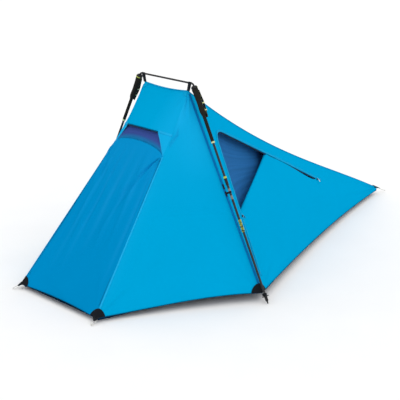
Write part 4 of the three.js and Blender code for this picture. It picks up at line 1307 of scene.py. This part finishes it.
def make_pole(side, sign):
    """One pole, from its tip up. Outlines are (radius, height above the tip) in millimetres."""
    def turn(name, outline, material, slot, node=None, bore=6.6, **options):
        """A ring round the shaft, or the outline alone where there is no bore."""
        closed = [(bore, outline[0][1]), *outline, (bore, outline[-1][1])] if bore else outline
        profile = [(r * 0.001, z * 0.001) for r, z in closed]
        turned_piece(f"{side}_{name}", sign, profile, material, slot, node and f"{side}_{node}", **options)

    tip = [(0, 2.1), (2.6, 2.1), (3.2, 4.2), (3.4, 12.5), (4.6, 14), (7.2, 17.4), (8.0, 21), (8.4, 30)]
    tip += [(8.4, 32), (7.9, 33), (7.9, 35), (8.3, 36), (8.1, 46.5), (7.8, 52), (7.4, 60.4), (6.9, 61), (0, 61)]
    turn("pole_tip_moulding", tip, BLACK_PLASTIC, "black_plastic", "pole_tip", bore=0)
    basket = [(9.0, 40.0), (11.0, 39.7), (17.0, 40.9), (18.6, 41.9), (19.0, 43.0)]
    basket += [(18.6, 44.1), (17.0, 44.6), (11.0, 45.6), (9.0, 46.0)]
    turn("basket_moulding", basket, BLACK_PLASTIC, "black_plastic", "basket", bore=0, shape=basket_shape)

    for name, low, high in (("lower_shaft", 62, 432), ("middle_shaft", 434, 684), ("upper_shaft", 686, 1200)):
        finish = banded(side, sign) if name == "middle_shaft" else SHAFT_METAL
        turn(name + "_tube", tube_outline(low, high), finish, "shaft_finish", name, bore=5.2)

    sleeve = [(7.4, 400), (8.0, 401), (8.2, 404), *ribbed(410, 458, lambda z: 8.3, 0.5, 6)]
    sleeve += [(8.2, 464), (8.0, 467), (7.4, 468)]
    turn("lower_joint_sleeve", sleeve, BANDED_LIME, "lime_plastic", "lower_joint")
    sleeve = [(7.3, 661), (7.9, 662), (8.1, 680), (8.3, 696), (8.3, 697.6), (7.6, 698)]
    turn("upper_joint_sleeve", sleeve, BLACK_PLASTIC, "lime_plastic", "upper_joint")
    turn("upper_joint_ring", [(8.0, 698.4), (8.7, 699.2), (8.7, 708.6), (8.0, 709.6)], LIME, "lime_plastic")
    ring = [(8.2, 896), (9.1, 896.6), (9.6, 899), (9.7, 901), (9.6, 903), (9.1, 904.9), (8.2, 905.5)]
    turn("collar_ring_moulding", ring, PALE_LIME, "pale_lime_plastic", "collar_ring")

    extension = [(8.2, 906), (8.9, 907.5), *ribbed(912, 1048, lambda z: 9.3, 0.7, 10.7)]
    extension += [(10.4, 1054), (11.8, 1059), (11.8, 1060.6), (11.2, 1061)]
    turn("grip_extension_foam", extension, GRIP_FOAM, "grip_foam", "grip_extension", sharp=60)
    grip = [(12.0, 1062), (12.9, 1062.6), *ribbed(1066, 1136, grip_swell, 0.9, 10)]
    grip += [(grip_swell(z), z) for z in range(1140, 1189, 8)]
    grip += [(16.7, 1195), (16.4, 1199), (15.0, 1201)]
    turn("grip_foam", grip, GRIP_FOAM, "grip_foam", "grip", shape=grip_shape, sharp=60)
    cap = [(15.4, 1202), (16.8, 1203.2), (17.0, 1206), (16.7, 1209), (15.6, 1212.5), (13.6, 1215.6)]
    cap += [(10.8, 1217.4), (8.0, 1218)]
    turn("grip_cap_moulding", cap, BLACK_PLASTIC, "lime_plastic", "grip_cap", bore=5.4, shape=grip_shape)
    make_cap_inlay(side, sign)
    make_button(side)
    make_wrist_strap(side, sign)
    make_pole_ties(side, sign)


def make_cap_inlay(side, sign):
    """A pale band let into the outer side of the grip's cap."""
    radius, height, reach = 0.0172, 1.2064, math.radians(62)
    angles = np.linspace(-reach, reach, 26)
    path = [(grip_shape(radius, a) * math.cos(a), radius * math.sin(a), height) for a in angles]
    sweep(f"{side}_cap_inlay", on_pole(sign, path), strap_outline(0.0062, 0.0022), LIME, slot="lime_plastic",
          across=pole_direction(sign, (0, 0, 1)))


def banded(side, sign):
    """The middle shaft's finish, with its bands above the middle of the pole."""
    axis = pole_direction(sign, (0, 0, 1))
    tip = float(on_pole(sign, (0, 0, 0)) @ axis)
    return banded_shaft(f"banded_shaft_{side}", (0.011, 0.011, 0.013), (0.16, 0.17, 0.15, 1), tip + 0.575,
                        tip + 0.655, axis)


def make_button(side):
    """The domed head of the spring button that locks the shaft open."""
    node = f"{side}_lock_button"
    low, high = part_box(node)
    inner, outer = (low.x, high.x) if side == "near" else (high.x, low.x)
    middle = (low + high) / 2
    path = [(inner + (outer - inner) * t, middle.y, middle.z) for t in (0, 0.3, 0.55, 0.72, 0.85, 0.94, 1.0)]
    dome = (1, 1, 1, 0.96, 0.84, 0.62, 0.25)
    sweep(node + "_head", path, round_outline(0.0022, 24), STEEL, UP, f"{side}_button", "steel", scales=dome,
          stands_for=node)


def make_wrist_strap(side, sign):
    """A flat webbing loop that hangs from the grip, with its two layers held together by two keepers."""
    body = f"{side}_strap"
    pivot = np.array(joint_named(f"{side}_strap_swing")["pos_m"], float)
    down, across = pole_direction(sign, (0, 0, -1)), pole_direction(sign, (0, 1, 0))
    out = np.cross(across, down)
    out = out if out[0] > 0 else -out
    length = 0.150
    angle = around(96)[:, None]
    reach = 0.5 - 0.5 * np.cos(angle)
    swell = np.sin(math.pi * reach)
    loop = pivot + down * length * reach + across * 0.0015 * swell
    loop = loop + out * (0.0027 + 0.0055 * swell**2) * np.sin(angle)
    sweep(f"{side}_wrist_strap_webbing", loop, strap_outline(0.0155, 0.0013), STRAP_WEBBING, UP, body, "black_webbing",
          closed=True, across=across, stands_for=f"{side}_wrist_strap")
    angle = around(28)[:, None]
    for height in (0.072, 0.112):
        keeper = pivot + down * height + out * 0.0105 * np.cos(angle) + across * 0.0098 * np.sin(angle)
        sweep(f"{side}_strap_keeper_{round(height * 1000)}", keeper, strap_outline(0.0070, 0.0011), PALE_LIME, UP,
              body, "pale_lime_plastic", closed=True, across=down)


def webbing_round(radius, half_gap, tail, start, end, steps):
    """Webbing from a seam at (0, tail), round a tube at the origin between two angles, and back to the seam."""
    angles = np.linspace(math.radians(start), math.radians(end), steps)
    arc = [(radius * math.cos(a), radius * math.sin(a)) for a in angles]
    across, up = arc[0][0] - half_gap, arc[0][1] - tail
    lead = [(half_gap + across * t, tail + up * t) for t in (0, 0.3, 0.6, 0.85)]
    return lead + arc + [(-x, y) for x, y in reversed(lead)]


def make_pole_ties(side, sign):
    """Webbing ties that hold the canopy's pole edge to the shaft, and the corner strap at the pole's foot."""
    ties = (("mid_pole_tie", 0.622, SHAFT_RADIUS + 0.0014, 0.038, 0.011), ("pole_foot_tie", 0.053, 0.0098, 0.019, 0.012))
    for name, height, radius, tail, width in ties:
        path = on_pole(sign, [(x, y, height) for x, y in webbing_round(radius, 0.0012, tail, 78, -258, 40)])
        sweep(f"{side}_{name}_webbing", path, strap_outline(width, 0.0014), BLACK_WEBBING, slot="black_webbing",
              across=pole_direction(sign, (0, 0, 1)), stands_for=f"{side}_{name}")
    for k, height in enumerate((0.602, 0.642)):
        t = (height * math.cos(LEAN) - POLE_FOOT_CORNER[2]) / (RIDGE_CORNER[2] - POLE_FOOT_CORNER[2])
        centre = pole_seam(np.array([t]))[0]
        along = unit(pole_seam(np.array([t + 0.01]))[0] - centre)
        outward = bisector((side_surface, 1.0, t), (tail_surface, 0.0, t))
        path = centre + outward * 0.0030 + along * np.linspace(-0.014, 0.014, 12)[:, None]
        turned = np.asarray if sign > 0 else mirror_y
        sweep(f"{side}_tie_bar_tack_{k}", turned(path), strap_outline(0.011, 0.0016), BLACK_WEBBING, turned(outward),
              slot="black_webbing")


# --- Spreader bar, top corners and peg loops ---
BAR_RADIUS = 0.005
BAR_HEIGHT = 1.094
LOOP_HALF_SPAN = 0.172


def make_spreader_bar():
    leg = pole_direction(1, (0, 0, 1))
    start = on_pole(1, (0, 0, 1.204))
    bend = on_pole(1, (0, 0, BAR_HEIGHT / math.cos(LEAN)))
    room = 0.012
    before, after = bend - leg * room, bend + np.array((0, room, 0))
    rise = np.linspace(start, before, 8)[:-1]
    level = np.linspace(after, np.array((0, 0, BAR_HEIGHT)), 20)[1:]
    half = np.concatenate([rise, quadratic(before, bend, after, 14), level])
    path = np.concatenate([half, mirror_y(half[::-1])[1:]])
    sweep("spreader_bar_tube", path, round_outline(BAR_RADIUS, 28), BAR_METAL, (1, 0, 0), slot="bar_finish",
          stands_for="spreader_bar")


def make_top_corners():
    """Webbing that carries each top corner of the canopy on the bar, and the patches that it is sewn to."""
    tail = RIDGE_CORNER[2] - BAR_HEIGHT
    slant = 0.012
    for side, sign in SIDES:
        turns = webbing_round(BAR_RADIUS + 0.0012, 0.0015, tail, -60, 240, 30)
        path = [(x, -sign * (LOOP_HALF_SPAN + slant * (1 - z / tail)), BAR_HEIGHT + z) for x, z in turns]
        sweep(f"{side}_bar_loop_webbing", path, strap_outline(0.020, 0.0014), BLACK_WEBBING, slot="black_webbing",
              across=(0, 1, 0), stands_for=f"{side}_bar_loop")
    hood_length, radius, lift = length_of(top_hem), 0.034, 0.0016
    hood_wedge = corner_wedge_top(hood_surface, 1, hood_length, length_of(hood_seam), radius, lift)
    ridge_wedge = corner_wedge_top(ridge_surface, 0, hood_length, length_of(ridge_seam), radius, lift)
    for name, points in (("hood_corner_patch", hood_wedge), ("ridge_corner_patch", ridge_wedge)):
        cloth_grid("near_" + name, points, SEAM_CLOTH, 0.0010)
        cloth_grid("far_" + name, mirror_y(points[:, ::-1]), SEAM_CLOTH, 0.0010)


def corner_wedge_top(surface, corner_u, hem_length, seam_length, radius, lift):
    """The same slice of a round patch, in an upper corner."""
    flipped = lambda u, v: surface(u, 1 - v)
    return corner_wedge(flipped, corner_u, hem_length, seam_length, radius, -lift, corner_u == 1)[:, ::-1]


def make_peg_loops():
    """Cord loops on webbing tabs at the three peg-out corners."""
    spots = (
        ("near_peg_loop", near(FOOT_CORNER), (-0.93, -0.37, -0.42), 0.019, 0.011, 0.044),
        ("far_peg_loop", far(FOOT_CORNER), (-0.93, 0.37, -0.42), 0.019, 0.011, 0.044),
        ("tail_peg_loop", np.array((TAIL_HIGH[0] + 0.022, 0, 0.037)), (0.74, -0.42, -0.40), 0.027, 0.006, 0.019),
    )
    for name, corner, way, reach, half_width, tab_width in spots:
        fall = unit(way)
        side = unit(np.cross(UP, fall))
        tab = corner + UP * 0.001 + fall * np.linspace(-0.010, 0.020, 10)[:, None]
        narrowing = np.linspace(1.0, 0.012 / tab_width, 10)
        sweep(name + "_tab", tab, strap_outline(tab_width, 0.0030), BLACK_WEBBING, slot="black_webbing",
              scales=narrowing)
        centre = corner + fall * (0.009 + reach)
        a = around(48)[:, None]
        loop = centre + fall * reach * np.cos(a) + side * half_width * np.sin(a) - UP * 0.003 * np.sin(a) ** 2
        sweep(name + "_cord", loop, round_outline(0.0017, 10), PALE_CORD, slot="pale_cord", closed=True, stands_for=name)
        a = around(36)[:, None]
        knot = centre + fall * reach + side * 0.0036 * np.cos(a) + UP * 0.0030 * np.sin(a)
        knot = knot + fall * 0.0016 * np.sin(2 * a)
        sweep(name + "_knot", knot, round_outline(0.0019, 10), PALE_CORD, fall, slot="pale_cord", closed=True)


def make_tail_patch():
    """The folded reinforcement that closes the tail's corner."""
    reach = np.linspace(-0.030, 0.030, 14)
    path = [(TAIL_HIGH[0] + x, 0, 0.033 + 0.010 * (1 - x / 0.03)) for x in reach]
    sweep("tail_patch_cloth", path, round_outline(0.013, 24, 0.010 / 0.013), PATCH_CLOTH, slot="black_webbing",
          scales=np.linspace(1.15, 0.35, 14), stands_for="tail_patch")


# --- Build ---
make_panels()
make_door_panel()
make_door_flap()
make_zip()
make_slider("top_zip_slider", "top_slider", ZIP_TAIL_A + 0.008, ZIP_LINE_B - 0.002, (1, 0), 0.019, PALE_CORD)
side_slider_a = side_edge_a(FOLD_BOTTOM[1]) - 0.002
make_slider("side_zip_slider", "side_slider", side_slider_a, FOLD_BOTTOM[1] - 0.012, (-side_edge_slope, 1), 0.014,
            BLUE_CORD)
make_mesh_door()
make_vent()
make_seams()
make_corner_patches()
make_floor()
for pole_side, pole_sign in SIDES:
    make_pole(pole_side, pole_sign)
make_spreader_bar()
make_top_corners()
make_peg_loops()
make_tail_patch()
for carried in ("near_tension_cord", "far_tension_cord"):
    cord_mesh = frame["nodes"][carried].data
    cord_mesh.materials.clear()
    cord_mesh.materials.append(CORD_BY_PLACE)


# --- Stage, light and camera ---
def make_stage():
    """A plain pale floor, wide enough to reach the horizon."""
    half, depth = 30.0, -0.001
    s = Shader("stage_floor")
    tint = s.mix(s.noise(s.place(), 3.0, 2), (0.91, 0.91, 0.91, 1), (0.95, 0.95, 0.95, 1))
    corners = [(-half, -half, depth), (half, -half, depth), (half, half, depth), (-half, half, depth)]
    mesh = mesh_from("stage_floor", corners, [(0, 1, 2, 3)])
    add_object("stage_floor", mesh, s.finish(s.skin(tint, 0.9)))


def make_sun(name, toward, strength, spread):
    """A broad soft light from one direction, as from a large softbox."""
    light = bpy.data.lights.new(name, "SUN")
    light.energy = strength
    light.angle = math.radians(spread)
    holder = bpy.data.objects.new(name, light)
    bpy.context.scene.collection.objects.link(holder)
    holder.rotation_euler = Vector(toward).to_track_quat("Z", "Y").to_euler()


def make_world(strength):
    world = bpy.data.worlds.new("studio")
    world.use_nodes = True
    background = world.node_tree.nodes["Background"]
    background.inputs["Color"].default_value = (1, 1, 1, 1)
    background.inputs["Strength"].default_value = strength
    bpy.context.scene.world = world


def make_camera():
    azimuth, elevation = math.radians(-44.68), math.radians(17.90)
    target, distance = Vector((-0.0922, -0.3543, 0.50)), 5.767
    back = Vector((math.sin(azimuth) * math.cos(elevation), -math.cos(azimuth) * math.cos(elevation), math.sin(elevation)))
    camera = bpy.data.cameras.new("photo_camera")
    camera.lens = 97.5
    camera.sensor_width = 36
    holder = bpy.data.objects.new("photo_camera", camera)
    bpy.context.scene.collection.objects.link(holder)
    holder.location = target + back * distance
    holder.rotation_euler = (-back).to_track_quat("-Z", "Y").to_euler()
    bpy.context.scene.camera = holder


make_stage()
make_world(0.98)
make_sun("key", (-0.20, -0.60, 0.77), 0.55, 60)
make_camera()
bpy.context.scene.view_settings.view_transform = "Standard"
